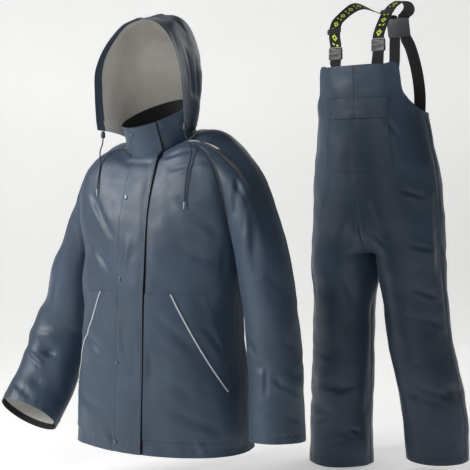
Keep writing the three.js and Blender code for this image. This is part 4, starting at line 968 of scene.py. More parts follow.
def unevenness(p, garment):
    """The slow swell of cloth that has been worn: the same field over all of a garment's panels."""
    rng = random.Random(11 if garment == "jacket" else 23)
    height = np.zeros(p.shape[:-1])
    for wavelength, amplitude in ((210, 1.5), (150, 1.3), (110, 1.0), (80, 0.75), (60, 0.5), (44, 0.3)):
        for _ in range(3):
            way = np.array([rng.gauss(0, 1), rng.gauss(0, 1), rng.gauss(0, 0.75)])
            way /= np.linalg.norm(way)
            height += amplitude / 1.7 * np.sin(p @ way * 2 * np.pi / wavelength + rng.uniform(0, 6.3))
    return height


def crossing(grid, normal, garment, places):
    """The camera-facing points of a sheet nearest to places in the photograph."""
    pixels, away = in_photo(grid, garment)
    facing = np.sum(turned(normal, garment) * away, -1) < 0
    found = []
    for place in places:
        gap = np.linalg.norm(pixels - np.array(place), axis=-1) + np.where(facing, 0, 1e4)
        where = np.unravel_index(np.argmin(gap), gap.shape)
        found.append((grid[where], gap[where]))
    return found


def local_creases(rows):
    return [(np.array(r[0:3], float), np.array(r[3:6], float), r[6], r[7]) for r in rows]


def crease_places(hidden, seen, sheets, garment, near=9.0):
    """A garment's creases as places on its sheets.

    Seen ones (x1 y1 x2 y2 in pixels, width and depth in mm) lie within `near` pixels of their drawn ends.
    """
    found = local_creases(hidden)
    for x1, y1, x2, y2, width, depth in seen:
        best, least = None, near
        for grid, normal in sheets:
            (start, gap_1), (end, gap_2) = crossing(grid, normal, garment, [(x1, y1), (x2, y2)])
            if max(gap_1, gap_2) < least:
                best, least = (start, end, width, depth), max(gap_1, gap_2)
        if best:
            found.append(best)
    return found


def edge_relief(grid, closed=False, dips=(1, 1, 1, 1), hem=None):
    """How far the sheet sinks at its seams (top, bottom, first column, last column) and its hem's stitches."""
    down, over = spans(grid, 0), spans(grid, 1, closed)
    if closed:
        over = over[:, :-1]
    ends = [down, down[-1:] - down]
    if not closed:
        ends += [over, over[:, -1:] - over]
    height = np.zeros(grid.shape[:2])
    for kind, (distance, other) in enumerate(zip(ends, (over, over, down, down))):
        if dips[kind]:
            pucker = np.sin(other * 2 * np.pi / 21 + 2.3 * np.sin(other / 47) + kind)
            height += -dips[kind] * np.exp(-((distance / 2.6) ** 2))
            height += 0.55 * pucker * np.exp(-distance / 12) * (1 - np.exp(-((distance / 4) ** 2)))
    if hem:
        across_hem = ends[1]
        pull = np.sin(over * 2 * np.pi / 26 + 2 * np.sin(over / 61))
        height += -0.9 * np.exp(-(((across_hem - hem) / 3) ** 2))
        height += 0.5 * pull * np.exp(-(((across_hem - hem) / 14) ** 2))
    return height


# Creases seen in the photograph: x1 y1 x2 y2 in pixels, width and depth in millimetres
SEEN_JACKET = [
    [239, 179, 235, 212, 7, -5], [239, 179, 249, 196, 7, 4], [249, 194, 244, 231, 8, -4.5],
    [248, 359, 279, 382, 8, -5], [266, 371, 266, 392, 7, -3.5], [279, 382, 302, 397, 8, -4],
    [250, 330, 292, 345, 9, -3], [262, 410, 296, 420, 9, -3], [254, 266, 284, 290, 10, -3],
    [31, 352, 42, 363, 6, 4], [14, 383, 29, 394, 7, -5], [30, 410, 62, 400, 9, -4],
    [70, 200, 62, 240, 8, -4], [82, 176, 74, 214, 8, -5], [60, 270, 50, 310, 9, -3.5],
    [36, 300, 62, 322, 8, -3.5], [128, 152, 157, 154, 6, -4], [128, 159, 156, 160, 7, 2.5],
    [166, 158, 190, 150, 7, -3.5], [172, 168, 206, 160, 9, -3], [180, 200, 214, 232, 12, -4],
    [176, 246, 214, 262, 12, -3], [92, 196, 112, 236, 10, -4], [90, 240, 108, 268, 10, -3],
    [160, 320, 196, 352, 14, -4], [150, 372, 186, 392, 14, -3.5], [176, 412, 216, 428, 13, -3.5],
    [206, 330, 222, 352, 9, -3.5], [86, 330, 104, 352, 12, -4], [84, 396, 104, 412, 12, -3.5],
    [120, 300, 126, 360, 10, -2.5], [226, 246, 222, 276, 9, -3],
    [206, 112, 226, 150, 10, -3], [96, 146, 74, 170, 9, -3], [130, 240, 124, 276, 9, 2.5],
    [140, 330, 152, 372, 10, -3], [108, 430, 118, 452, 9, -3], [196, 440, 204, 456, 9, 3],
]
SEEN_HOOD = [
    [111, 33, 150, 28, 10, -3], [103, 60, 108, 96, 9, -3], [186, 50, 192, 92, 8, -3.5],
    [196, 60, 199, 96, 8, -3], [160, 18, 186, 30, 9, -3], [104, 100, 110, 122, 8, -3.5],
]
SEEN_TROUSERS = [
    [310, 385, 333, 388, 8, -6], [312, 422, 324, 418, 7, -4.5], [349, 429, 360, 431, 7, -5],
    [336, 392, 352, 386, 8, -3.5], [306, 346, 328, 356, 10, -3], [318, 446, 342, 440, 8, -3.5],
    [402.6, 190, 422, 196, 8, -4], [410, 245, 432, 250, 8, -4.5], [418, 290, 436, 297, 8, -4],
    [408, 317, 438, 324, 9, -4], [416, 385, 446, 396, 9, -5], [396, 372, 418, 364, 9, -3],
    [404, 420, 432, 412, 9, -3.5], [330, 186, 322, 214, 9, -3], [372, 200, 384, 236, 10, -3],
    [356, 206, 338, 240, 9, -3.5], [366, 230, 386, 246, 9, -4], [362, 232, 340, 252, 9, -4],
    [386, 120, 398, 136, 8, -3], [312, 130, 316, 170, 8, -3], [366, 262, 384, 300, 11, -3],
    [340, 270, 352, 300, 11, -3], [310, 250, 318, 300, 11, -3],
]
# Creases on the sides the photograph doesn't show, in the garment's own frame
HIDDEN_JACKET = [
    [-150, 130, -120, -60, 168, -190, 14, -4.5], [150, 130, -130, 70, 168, -210, 14, -4.5],
    [-205, 90, -250, -150, 130, -340, 13, -4], [205, 90, -250, 150, 130, -350, 13, -4.5],
    [-40, 172, -300, 40, 172, -318, 13, -3.5], [-120, 150, -440, -20, 172, -480, 15, -4],
    [30, 172, -540, 130, 150, -580, 15, -4], [-150, 145, -620, -60, 175, -650, 14, -3.5],
    [-90, 172, -700, -70, 178, -770, 12, 3.5], [80, 172, -690, 100, 172, -775, 13, -3.5],
    [200, 85, -400, 215, 70, -560, 14, -3.5], [-200, 85, -420, -216, 70, -560, 14, -3.5],
    [255, 30, -180, 330, 78, -280, 12, -4], [300, 80, -330, 390, 60, -360, 12, -4],
    [300, 75, -470, 400, 55, -500, 11, -4], [420, 20, -540, 330, 68, -575, 11, -3.5],
    [310, 70, -650, 410, 50, -680, 12, -3.5], [-270, 80, -200, -330, 100, -320, 12, -4],
    [-300, 108, -400, -400, 100, -440, 12, -4], [-460, 70, -520, -380, 115, -545, 11, -4.5],
    [-350, 90, -600, -440, 50, -640, 12, -3.5], [-370, 0, -680, -460, 0, -700, 11, -3.5],
    [60, 118, 110, -60, 118, 125, 14, -3], [100, 60, 100, 112, 20, 180, 12, -3],
]
HIDDEN_TROUSERS = [
    [-60, 138, -120, -150, 120, -180, 14, -4], [60, 138, -130, 150, 120, -185, 14, -4],
    [-40, 140, -250, -120, 120, -290, 12, -5], [40, 140, -250, 120, 120, -290, 12, -5],
    [-90, 125, -340, -170, 90, -370, 12, -4], [100, 130, -350, 180, 95, -380, 12, -4],
    [-60, 108, -560, -160, 95, -590, 11, -5], [-70, 106, -625, -180, 80, -640, 11, -4],
    [90, 110, -560, 190, 90, -600, 11, -5], [110, 112, -640, 230, 70, -660, 11, -4],
    [-60, 108, -800, -150, 95, -830, 12, -4], [150, 112, -790, 240, 80, -820, 12, -4],
    [0, 85, 60, 90, 96, 20, 14, -3], [-30, 110, 0, -120, 95, -30, 14, -3],
    [-215, 10, -330, -190, 70, -420, 12, -3.5], [205, 20, -260, 200, 80, -330, 12, -3.5],
]

# ---- The jacket's panels ----

BODY_Q = np.concatenate([np.linspace(0, 1, 58), 1 + spaced(505, 5.0, (1.6, 3.6))[1:]])
POCKET = {
    "top": -376, "foot": -626, "hem": -750,
    "left": ((119, 238), (194, 245)),
    "right": ((99, 218), (176, 236)),
}
FLAP_SPAN = (40, -44)
FLAP_WIDE = FLAP_SPAN[0] - FLAP_SPAN[1]
FLAP_COVER = 5
FLAP_WHOLE = FLAP_WIDE + FLAP_COVER
LEFT_EDGE = 52
ZIP_COVER = 4
HEM_FOLD = 21
CUFF_FACING = 26


def q_at(z):
    return 1 + (UNDERARM_Z - z) / (UNDERARM_Z - HEM_Z)


def zip_drift(q):
    return 10 * ease(0.7, 0.1, q)


def front_x(side, q, t):
    """x across a front: t runs from 0 at the zip (left) or the flap's far edge (right) to 1 at the side."""
    sign = HANDS[side]
    near = (LEFT_EDGE - ZIP_COVER if side == "left" else FLAP_SPAN[1]) + zip_drift(q)
    here = side_of(q, True)
    start = across_inverse(np.abs(near) / here)
    return sign * here * across(mix(start, 1, t))


def pocket_share(side, q):
    """How far across a front the pocket's slanted edge and its corner lie, as t of front_x."""
    height = np.where(q < 1, UNDERARM_Z, mix(UNDERARM_Z, HEM_Z, q - 1))
    height = np.clip(height, POCKET["foot"], POCKET["top"])
    fall = (POCKET["top"] - height) / (POCKET["top"] - POCKET["foot"])
    width = trunk(height)[1]
    start = across_inverse((LEFT_EDGE - ZIP_COVER if side == "left" else -FLAP_SPAN[1]) / width)
    return [(across_inverse(mix(*POCKET[side][k], fall) / width) - start) / (1 - start) for k in (0, 1)]


def front_grid(side, q, t):
    q2 = q[:, None]
    return lean(body_point(q2, front_x(side, q2, t), True))


def flap_grid(q, u):
    """The right front's straight part, from the zip (u 0) to the storm flap's far edge (u 1)."""
    q2 = q[:, None]
    return lean(body_point(q2, mix(*FLAP_SPAN, u)[None, :] + zip_drift(q2), True))


FRONT_T = spaced(230, 5.0)
FLAP_U = spaced(FLAP_WIDE, 5.0, (1.5, 3.0))
left_front = front_grid("left", BODY_Q, FRONT_T[None, :])
right_front = np.concatenate([flap_grid(BODY_Q, FLAP_U), front_grid("right", BODY_Q, FRONT_T[None, 1:])], 1)
back_u = 2 * spaced(520, 5.4) - 1
back_x = np.sign(back_u) * across(np.abs(back_u))
jacket_back_grid = lean(body_point(BODY_Q[:, None], side_of(BODY_Q, False)[:, None] * back_x[None, :], False))

COLLAR_ANGLES = np.linspace(math.degrees(math.asin((LEFT_EDGE - ZIP_COVER + 10) / 100)), 390, 150)
COLLAR_T = spaced(118, 5.0)[::-1]
collar_base = lean(neck_point(COLLAR_ANGLES))
collar_grid = collar_point(collar_base[None, :, :], COLLAR_T[:, None] + 0 * COLLAR_ANGLES[None, :])

sleeve_grids = {side: sleeve_points(side)[0] for side in ("left", "right")}
sleeve_flip = {"left": True, "right": False}
JACKET_CREASES = crease_places(HIDDEN_JACKET, SEEN_JACKET, [
    (grid, sheet_normals(grid, closed, flip)) for grid, closed, flip in (
        (left_front, False, False), (right_front, False, True),
        (sleeve_grids["left"], True, True), (sleeve_grids["right"], True, False),
    )
], "jacket")


def held_at(grid, closed, sewn_edges):
    """How free each point is to swell: 0 on a seam (top, bottom, first column, last column), 1 well away."""
    down, over = spans(grid, 0), spans(grid, 1, closed)
    if closed:
        over = over[:, :-1]
    free = np.ones(grid.shape[:2])
    for held, distance in zip(sewn_edges, (down, down[-1:] - down, over, over[:, -1:] - over)):
        if held:
            free *= 1 - np.exp(-((distance / 13) ** 2))
    return free


def worn(
    grid, creases, garment, closed=False, flip=False, dips=(1, 1, 1, 1), hem=None, swell=1.0,
    sewn_edges=(0, 0, 0, 0),
):
    """A sheet with its creases, its swell and its seams pressed in."""
    normal = sheet_normals(grid, closed, flip)
    height = crease_height(creases, grid, normal) + swell * unevenness(grid, garment)
    height = np.clip(height, -9, 7) * held_at(grid, closed, sewn_edges) + edge_relief(grid, closed, dips, hem)
    return grid + normal * height[..., None]


def resample(grid, row_keys, column_keys, rows, columns):
    """A worn sheet read at other rows and columns, so that what lies on it follows it."""
    rows = np.broadcast_to(rows, columns.shape)
    j = np.clip(np.searchsorted(row_keys, rows, side="right") - 1, 0, len(row_keys) - 2)
    i = np.clip(np.searchsorted(column_keys, columns, side="right") - 1, 0, len(column_keys) - 2)
    a = ((rows - row_keys[j]) / (row_keys[j + 1] - row_keys[j]))[..., None]
    b = ((columns - column_keys[i]) / (column_keys[i + 1] - column_keys[i]))[..., None]
    above = mix(grid[j, i], grid[j, i + 1], b)
    return mix(above, mix(grid[j + 1, i], grid[j + 1, i + 1], b), a)


def sewn(points, normals, garment, out, pitch=4.6, stitch=3.2):
    """Adds a row of stitches along points to the list `out`. Real ones are 2.8 mm, these a little longer."""
    step = np.linalg.norm(np.diff(points, axis=0), axis=1)
    run = np.concatenate([[0], np.cumsum(step)])
    for s in np.arange(pitch, run[-1] - pitch, pitch):
        ends = [[np.interp(v, run, points[:, k]) for k in range(3)] for v in (s, s + stitch)]
        n = [np.interp(s, run, normals[:, k]) for k in range(3)]
        out.append((world(ends[0], garment), world(ends[1], garment), turned(unit(np.array(n)), garment)))


def stitching(name, rows, radius=0.00055):
    """One mesh of short threads, each a five-sided spindle lying on the cloth and dipping in at its ends."""
    points, faces = [], []
    for a, b, n in rows:
        along_it = unit(b - a)
        side = np.cross(along_it, n)
        first = len(points)
        for share, lift, r in ((0.0, -0.4, 0.35), (0.22, 0.35, 1.0), (0.78, 0.35, 1.0), (1.0, -0.4, 0.35)):
            centre = a + (b - a) * share + n * radius * lift
            for corner in range(5):
                angle = 2 * math.pi * corner / 5
                points.append(centre + (side * math.cos(angle) * 1.2 + n * math.sin(angle)) * radius * r)
        for ring in range(3):
            for corner in range(5):
                low, high = first + ring * 5, first + ring * 5 + 5
                after = (corner + 1) % 5
                faces.append((low + corner, low + after, high + after, high + corner))
        faces.append(tuple(first + c for c in range(4, -1, -1)))
        faces.append(tuple(first + 15 + c for c in range(5)))
    mesh = bpy.data.meshes.new(name)
    mesh.from_pydata([tuple(p) for p in points], [], faces)
    mesh.materials.append(THREAD)
    faced_outward(mesh)
    mesh.polygons.foreach_set("use_smooth", np.ones(len(mesh.polygons), bool))
    obj = linked(name, mesh)
    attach(obj, "root")


def line_at(grid, axis, distance, closed=False, flip=False, from_end=False, part=(0.0, 1.0), lift=0.4):
    """A line of points on a sheet at a distance in from an edge: axis 0 runs across it, axis 1 down it."""
    normal = sheet_normals(grid, closed, flip)
    run = spans(grid, 0) if axis == 0 else spans(grid, 1)
    g, n = (grid, normal) if axis == 0 else (grid.transpose(1, 0, 2), normal.transpose(1, 0, 2))
    run = run if axis == 0 else run.T
    points, ways = [], []
    for c in range(g.shape[1]):
        d = run[-1, c] - distance if from_end else distance
        points.append([np.interp(d, run[:, c], g[:, c, k]) for k in range(3)])
        ways.append([np.interp(d, run[:, c], n[:, c, k]) for k in range(3)])
    count = len(points)
    keep = slice(int(part[0] * count), max(2, int(math.ceil(part[1] * count))))
    points, ways = np.array(points)[keep], unit(np.array(ways)[keep])
    if closed:
        points, ways = np.concatenate([points, points[:1]]), np.concatenate([ways, ways[:1]])
    return points + ways * lift, ways


jacket_threads = []


def topstitch(grid, garment, threads, axis, distances, **options):
    for distance in distances:
        points, ways = line_at(grid, axis, distance, **options)
        sewn(points, ways, garment, threads)


CLOTH_THICK = 1.5
LINED = [CLOTH, BACKING, FACING]
DOUBLED = [CLOTH, CLOTH]


def hem_inside(grid, band=HEM_FOLD):
    """Inside faces within the turned-up hem show the coated cloth's dark facing."""
    down = spans(grid, 0)
    left = down[-1:] - down

    def slots(j, i):
        return np.where(left[j, np.minimum(i, left.shape[1] - 1)] < band, 2, 1)

    return slots


FRONT_EDGES = {"dips": (1, 0, 0, 1.3), "hem": HEM_FOLD, "sewn_edges": (1, 0, 1, 1)}
BACK_EDGES = {**FRONT_EDGES, "dips": (1, 0, 1.3, 1.3)}
RAGLAN_ROWS = (5.5, 12)
worn_left = worn(left_front, JACKET_CREASES, "jacket", **FRONT_EDGES)
worn_right = worn(right_front, JACKET_CREASES, "jacket", flip=True, **FRONT_EDGES)
worn_back = worn(jacket_back_grid, JACKET_CREASES, "jacket", flip=True, **BACK_EDGES)
for panel, grid, flip in (
    ("front_left", worn_left, False), ("front_right", worn_right, True), ("back", worn_back, True)
):
    dress(
        panel, f"jacket_{panel}", "jacket", grid, CLOTH_THICK, LINED, "hung", "jacket_collar", flip=flip,
        inner_slots=hem_inside(grid),
    )
    topstitch(grid, "jacket", jacket_threads, 0, (HEM_FOLD,), flip=flip, from_end=True)
topstitch(worn_left, "jacket", jacket_threads, 1, RAGLAN_ROWS, from_end=True, part=(0, 0.34))
topstitch(worn_right, "jacket", jacket_threads, 1, RAGLAN_ROWS, flip=True, from_end=True, part=(0, 0.34))
for from_end in (False, True):
    topstitch(
        worn_back, "jacket", jacket_threads, 1, RAGLAN_ROWS, flip=True, from_end=from_end, part=(0, 0.34),
    )

for side in ("left", "right"):
    grid = worn(
        sleeve_grids[side], JACKET_CREASES, "jacket", True, sleeve_flip[side], dips=(1.3, 0, 0, 0),
        hem=HEM_FOLD, sewn_edges=(1, 0, 0, 0),
    )
    dress(
        f"sleeve_{side}", f"jacket_sleeve_{side}", "jacket", grid, CLOTH_THICK, LINED, "hung", "jacket_back",
        True, sleeve_flip[side], inner_slots=hem_inside(grid, CUFF_FACING),
    )
    topstitch(
        grid, "jacket", jacket_threads, 0, (HEM_FOLD,), closed=True, flip=sleeve_flip[side], from_end=True,
    )

worn_collar = worn(
    collar_grid, local_creases([[122, -60, 40, 60, -100, 20, 9, -2]]), "jacket", dips=(0, 1.2, 0, 0),
    swell=0.5, sewn_edges=(0, 1, 1, 1),
)
dress("collar", "jacket_collar", "jacket", worn_collar, CLOTH_THICK, [CLOTH, FACING], "hung", "jacket_back")
topstitch(worn_collar, "jacket", jacket_threads, 0, (7,))

# Storm flap: up the front over the zip, from the hem to the collar's top edge
flap_u = np.concatenate([[-FLAP_COVER / FLAP_WIDE, -FLAP_COVER / FLAP_WIDE / 2], FLAP_U])
flap_angles = np.degrees(np.arcsin(np.clip((mix(*FLAP_SPAN, flap_u) + 10) / 100, -1, 1))) + 360
flap_on_collar = collar_point(
    lean(neck_point(flap_angles))[None], COLLAR_T[:-1, None] + 0 * flap_angles[None]
)
over_zip = flap_grid(BODY_Q, flap_u[:2])
flap_sheet = np.concatenate([flap_on_collar, np.concatenate([over_zip, worn_right[:, :len(FLAP_U)]], 1)])
flap_down = spans(flap_sheet, 0)
flap_over = spans(flap_sheet, 1)
flap_lift = np.exp(-flap_over / 7) * (1.6 + 0.9 * np.sin(flap_down / 61)) + 1.4 * np.sin(
    np.pi * np.clip(flap_over / FLAP_WHOLE, 0, 1)
) + 0.5 * np.sin(flap_down / 37 + 1.3) * np.exp(-((flap_over - FLAP_WHOLE) / 16) ** 2)
flap_body = flap_sheet + sheet_normals(flap_sheet, flip=True) * (flap_lift + 0.5)[..., None]
dress(
    "storm_flap", "jacket_storm_flap", "jacket", flap_body, 1.3, DOUBLED, "laid", "jacket_front_right",
    flip=True, lift=1.2,
)
for from_end in (False, True):
    topstitch(flap_body, "jacket", jacket_threads, 1, (5,), flip=True, from_end=from_end, lift=3.0)

# Pockets: the patch, the facing it uncovers, and the piping along its slanted edge
PATCH_ROWS = 78
front_sheets = {"left": worn_left, "right": worn_right[:, len(FLAP_U) - 1:]}
for side in ("left", "right"):
    flip = side == "right"
    rows = np.linspace(q_at(POCKET["top"]), q_at(POCKET["hem"]), PATCH_ROWS)
    slant, corner = pocket_share(side, rows)
    width_t = spaced(170, 5.0, (1.5, 3.0))
    patch = resample(front_sheets[side], BODY_Q, FRONT_T, rows[:, None], slant[:, None] * width_t[None, :])
    patch_down = np.linspace(0, 1, PATCH_ROWS)[:, None]
    bulge = 3.2 * np.sin(np.pi * width_t[None, :]) * np.sin(np.pi * patch_down) ** 0.7
    patch = patch + sheet_normals(patch, flip=flip) * bulge[..., None]
    dress(
        f"pocket_{side}", f"jacket_pocket_{side}", "jacket", patch, 1.2, DOUBLED, "laid",
        f"jacket_front_{side}", flip=flip, lift=1.0,
    )
    topstitch(patch, "jacket", jacket_threads, 0, (5, 11), flip=flip, lift=2.5)
    topstitch(patch, "jacket", jacket_threads, 0, (5,), flip=flip, from_end=True, lift=2.5)
    rows = np.linspace(q_at(POCKET["top"]), q_at(POCKET["foot"]), 54)
    slant, corner = pocket_share(side, rows)
    band = np.linspace(0, 1, 12)
    facing = resample(
        front_sheets[side], BODY_Q, FRONT_T, rows[:, None],
        mix(slant[:, None], corner[:, None], band[None, :]),
    )
    dress(
        f"pocket_facing_{side}", f"jacket_pocket_facing_{side}", "jacket", facing, 0.9, DOUBLED, "laid",
        f"jacket_front_{side}", flip=flip, lift=0.5,
    )
    edge_ways = sheet_normals(facing, flip=flip)[:, 0]
    edge_line = facing[:, 0] + edge_ways * 3.2
    tube = []
    for p, n, run in zip(edge_line, edge_ways, unit(np.gradient(edge_line, axis=0))):
        out = np.cross(n, run)
        tube.append([p + 2.3 * math.cos(a) * out + 1.5 * math.sin(a) * n
                     for a in np.linspace(0, 2 * math.pi, 13)[:-1]])
    piping = shell(f"pocket_piping_{side}_tape", "jacket", np.array(tube), 0.5, [PIPING, PIPING], True, True)
    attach(piping, "root")
    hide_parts(f"jacket_pocket_piping_{side}")
    topstitch(facing, "jacket", jacket_threads, 1, (5, 11), flip=flip, from_end=True, lift=2.0)

# ---- Hood ----

HOOD_V = 1 - spaced(330, 4.6)
HOOD_U = np.concatenate([
    spaced(105, 4.0, (2.0,)) * HOOD_STRAIGHT, HOOD_STRAIGHT + (1 - HOOD_STRAIGHT) * spaced(170, 4.6)[1:]
])
FACE_HEM = 20
HIDDEN_HOOD = [
    [60, -70, 330, 20, 0, 356, 12, -3], [-60, -60, 330, -20, 0, 356, 12, -3],
    [118, -20, 150, 80, 70, 120, 12, -3.5], [-118, -20, 150, -80, 70, 120, 12, -3.5],
    [110, 20, 220, 50, 100, 230, 13, -3], [-110, 20, 220, -50, 100, 230, 13, -3],
    [70, 70, 300, 20, 90, 290, 12, -3], [-70, 70, 300, -20, 90, 290, 12, -3],
]
for side in ("left", "right"):
    flip = side == "right"
    grid = hood_point(HOOD_U[None, :], HOOD_V[:, None], HANDS[side])
    own = crease_places(HIDDEN_HOOD, SEEN_HOOD, [(grid, sheet_normals(grid, flip=flip))], "jacket")
    grid = worn(grid, own, "jacket", flip=flip, dips=(1.6, 0.5, 0, 1.6), sewn_edges=(1, 0, 0, 1))
    over = spans(grid, 1)
    rim_swell = np.exp(-(((over - FACE_HEM / 2) / 9) ** 2))
    stitch_sink = np.exp(-(((over - FACE_HEM) / 3) ** 2))
    rim_roll = 1.6 * rim_swell - 1.4 * stitch_sink
    grid = grid + sheet_normals(grid, flip=flip) * rim_roll[..., None]

    def face_hem(j, i, over=over):
        return np.where(over[j, i] < FACE_HEM, 0, 1)

    dress(
        f"hood_{side}", f"jacket_hood_{side}", "jacket", grid, 1.4, LINED, "hung", "jacket_collar", flip=flip,
        inner_slots=face_hem,
    )
    topstitch(grid, "jacket", jacket_threads, 1, (FACE_HEM,), flip=flip)
    topstitch(grid, "jacket", jacket_threads, 1, (5.5,), flip=flip, from_end=True)
    topstitch(grid, "jacket", jacket_threads, 0, (6,), flip=flip)
    topstitch(grid, "jacket", jacket_threads, 0, (7,), flip=flip, from_end=True)

stitching("jacket_threads", jacket_threads)

# ---- The trousers' panels ----


def custom_rows(heights):
    return np.array([[(BIB_TOP - z) / (BIB_TOP - SEAT_LINE), SEAT_LINE, SEAT_LINE, 0.0] for z in heights])


TROUSER_V = spaced(315, 5.0)
trouser_grids = {}
for side in ("left", "right"):
    for front in (True, False):
        trouser_grids[side, front] = trouser_point(side, front, trouser_rows(LEG_HEM[side]), TROUSER_V)


def trouser_flip(side, front):
    return (side == "left") != front


TROUSER_CREASES = crease_places(HIDDEN_TROUSERS, SEEN_TROUSERS, [
    (grid, sheet_normals(grid, False, trouser_flip(*key))) for key, grid in trouser_grids.items()
], "trousers")
trouser_threads = []
worn_trousers = {}
for (side, front), grid in trouser_grids.items():
    flip = trouser_flip(side, front)
    grid = worn(
        grid, TROUSER_CREASES, "trousers", flip=flip, dips=(0.3, 0, 1.3, 1.3), hem=HEM_FOLD,
        sewn_edges=(0, 0, 1, 1),
    )
    worn_trousers[side, front] = grid
    place = "front" if front else "back"
    dress(
        f"trousers_{place}_{side}", f"trousers_{place}_{side}", "trousers", grid, CLOTH_THICK, LINED, "hung",
        f"brace_{place}_strap_{side}", flip=flip, inner_slots=hem_inside(grid),
    )
    topstitch(grid, "trousers", trouser_threads, 0, (HEM_FOLD,), flip=flip, from_end=True)
    topstitch(grid, "trousers", trouser_threads, 0, (8, 22), flip=flip)
    topstitch(grid, "trousers", trouser_threads, 1, (5.5,), flip=flip, part=(0, 0.5))
    if front:
        topstitch(grid, "trousers", trouser_threads, 1, (5.5,), flip=flip, from_end=True)


def bib_overlay(heights, reach):
    """A sheet on the bib's two fronts, from -reach to reach as shares of each panel."""
    v = spaced(105, 5.0, (1.5, 3.0)) * reach
    down = ((BIB_TOP - heights) / (BIB_TOP - SEAT_LINE))[:, None] + 0 * v[None, :]
    keys = np.linspace(0, 1, BIB_ROWS + 1)
    halves = [
        resample(worn_trousers[side, True][:BIB_ROWS + 1], keys, TROUSER_V, down, v[None, :] + 0 * down)
        for side in ("right", "left")
    ]
    halves[0][:, 0] = halves[1][:, 0] = (halves[0][:, 0] + halves[1][:, 0]) / 2
    return np.concatenate([halves[0][:, ::-1], halves[1][:, 1:]], 1)


CHEST = {"top": 165, "flap_foot": 106, "foot": -53, "reach": 0.36}
CHEST_ROWS, CHEST_FLAP_ROWS = 46, 15
chest_sheet = bib_overlay(np.linspace(CHEST["top"], CHEST["foot"], CHEST_ROWS), CHEST["reach"])
share_over = np.linspace(0, 1, chest_sheet.shape[1])[None, :]
share_down = np.linspace(0, 1, CHEST_ROWS)[:, None]
puff = 3.5 * np.sin(np.pi * share_over) ** 0.6 * np.sin(np.pi * share_down) ** 0.6
chest_sheet = chest_sheet + sheet_normals(chest_sheet) * puff[..., None]
dress(
    "chest_pocket", "trousers_chest_pocket", "trousers", chest_sheet, 1.2, DOUBLED, "laid",
    "trousers_front_left", lift=1.0,
)
topstitch(chest_sheet, "trousers", trouser_threads, 0, (5, 11), from_end=True, lift=2.5)
for from_end in (False, True):
    topstitch(chest_sheet, "trousers", trouser_threads, 1, (5, 11), from_end=from_end, lift=2.5)
flap_rows = np.linspace(CHEST["top"], CHEST["flap_foot"], CHEST_FLAP_ROWS)
chest_flap_sheet = bib_overlay(flap_rows, CHEST["reach"])
flap_down = np.linspace(0, 1, CHEST_FLAP_ROWS)[:, None]
flap_across = np.linspace(0, 1, chest_flap_sheet.shape[1])[None, :]
stand = 1.5 + 2.2 * flap_down + 3.0 * np.sin(np.pi * flap_across) * flap_down
chest_flap_sheet = chest_flap_sheet + sheet_normals(chest_flap_sheet) * stand[..., None]
dress(
    "chest_flap", "trousers_chest_flap", "trousers", chest_flap_sheet, 1.2, DOUBLED, "laid",
    "trousers_chest_pocket", lift=1.6,
)
topstitch(chest_flap_sheet, "trousers", trouser_threads, 0, (4.5,), from_end=True, lift=3.2)
topstitch(chest_flap_sheet, "trousers", trouser_threads, 0, (5, 11), lift=3.2)
for from_end in (False, True):
    topstitch(chest_flap_sheet, "trousers", trouser_threads, 1, (4.5,), from_end=from_end, lift=3.2)
stitching("trouser_threads", trouser_threads)

# ---- Braces ----


def smooth_path(points):
    """A centripetal Catmull-Rom curve through points, read at t from 0 to 1."""
    pts = np.array(points, float)
    count = len(pts)
    run_in, run_out = 2 * pts[0] - pts[1], 2 * pts[-1] - pts[-2]
    full = np.concatenate([[run_in], pts, [run_out]])

    def at(t):
        place = (count - 1) * t
        i = min(int(place), count - 2)
        w = place - i
        p0, p1, p2, p3 = full[i:i + 4]
        d0, d1, d2 = [np.linalg.norm(b - a) ** 0.5 for a, b in ((p0, p1), (p1, p2), (p2, p3))]
        d1 = d1 if d1 > 1e-4 else 1.0
        d0 = d0 if d0 > 1e-4 else d1
        d2 = d2 if d2 > 1e-4 else d1
        m1 = ((p1 - p0) / d0 - (p2 - p0) / (d0 + d1) + (p2 - p1) / d1) * d1
        m2 = ((p2 - p1) / d1 - (p3 - p1) / (d1 + d2) + (p3 - p2) / d2) * d1
        return (
            p1 + m1 * w + (-3 * p1 + 3 * p2 - 2 * m1 - m2) * w**2 + (2 * p1 - 2 * p2 + m1 + m2) * w**3
        )

    return at


STRAP_WIDTH, STRAP_THICK = 36, 2
PATCH_Y, PATCH_Z, PATCH_TILT, PATCH_THICK = 137, 412, 0.3, 3


def on_patch(x, up, clear=0.0):
    """On the outer face of the back patch, `up` from its middle."""
    level = math.sqrt(1 - PATCH_TILT**2)
    off = (PATCH_THICK + STRAP_THICK) / 2 + 0.4 + clear
    return [x, PATCH_Y - PATCH_TILT * up + level * off, PATCH_Z + level * up + PATCH_TILT * off, 1, 0, 0]


BUCKLE_Y = -157
BRACE_X = {"left": 73, "right": -67}
BUCKLE_Z = {"left": 317, "right": 301}
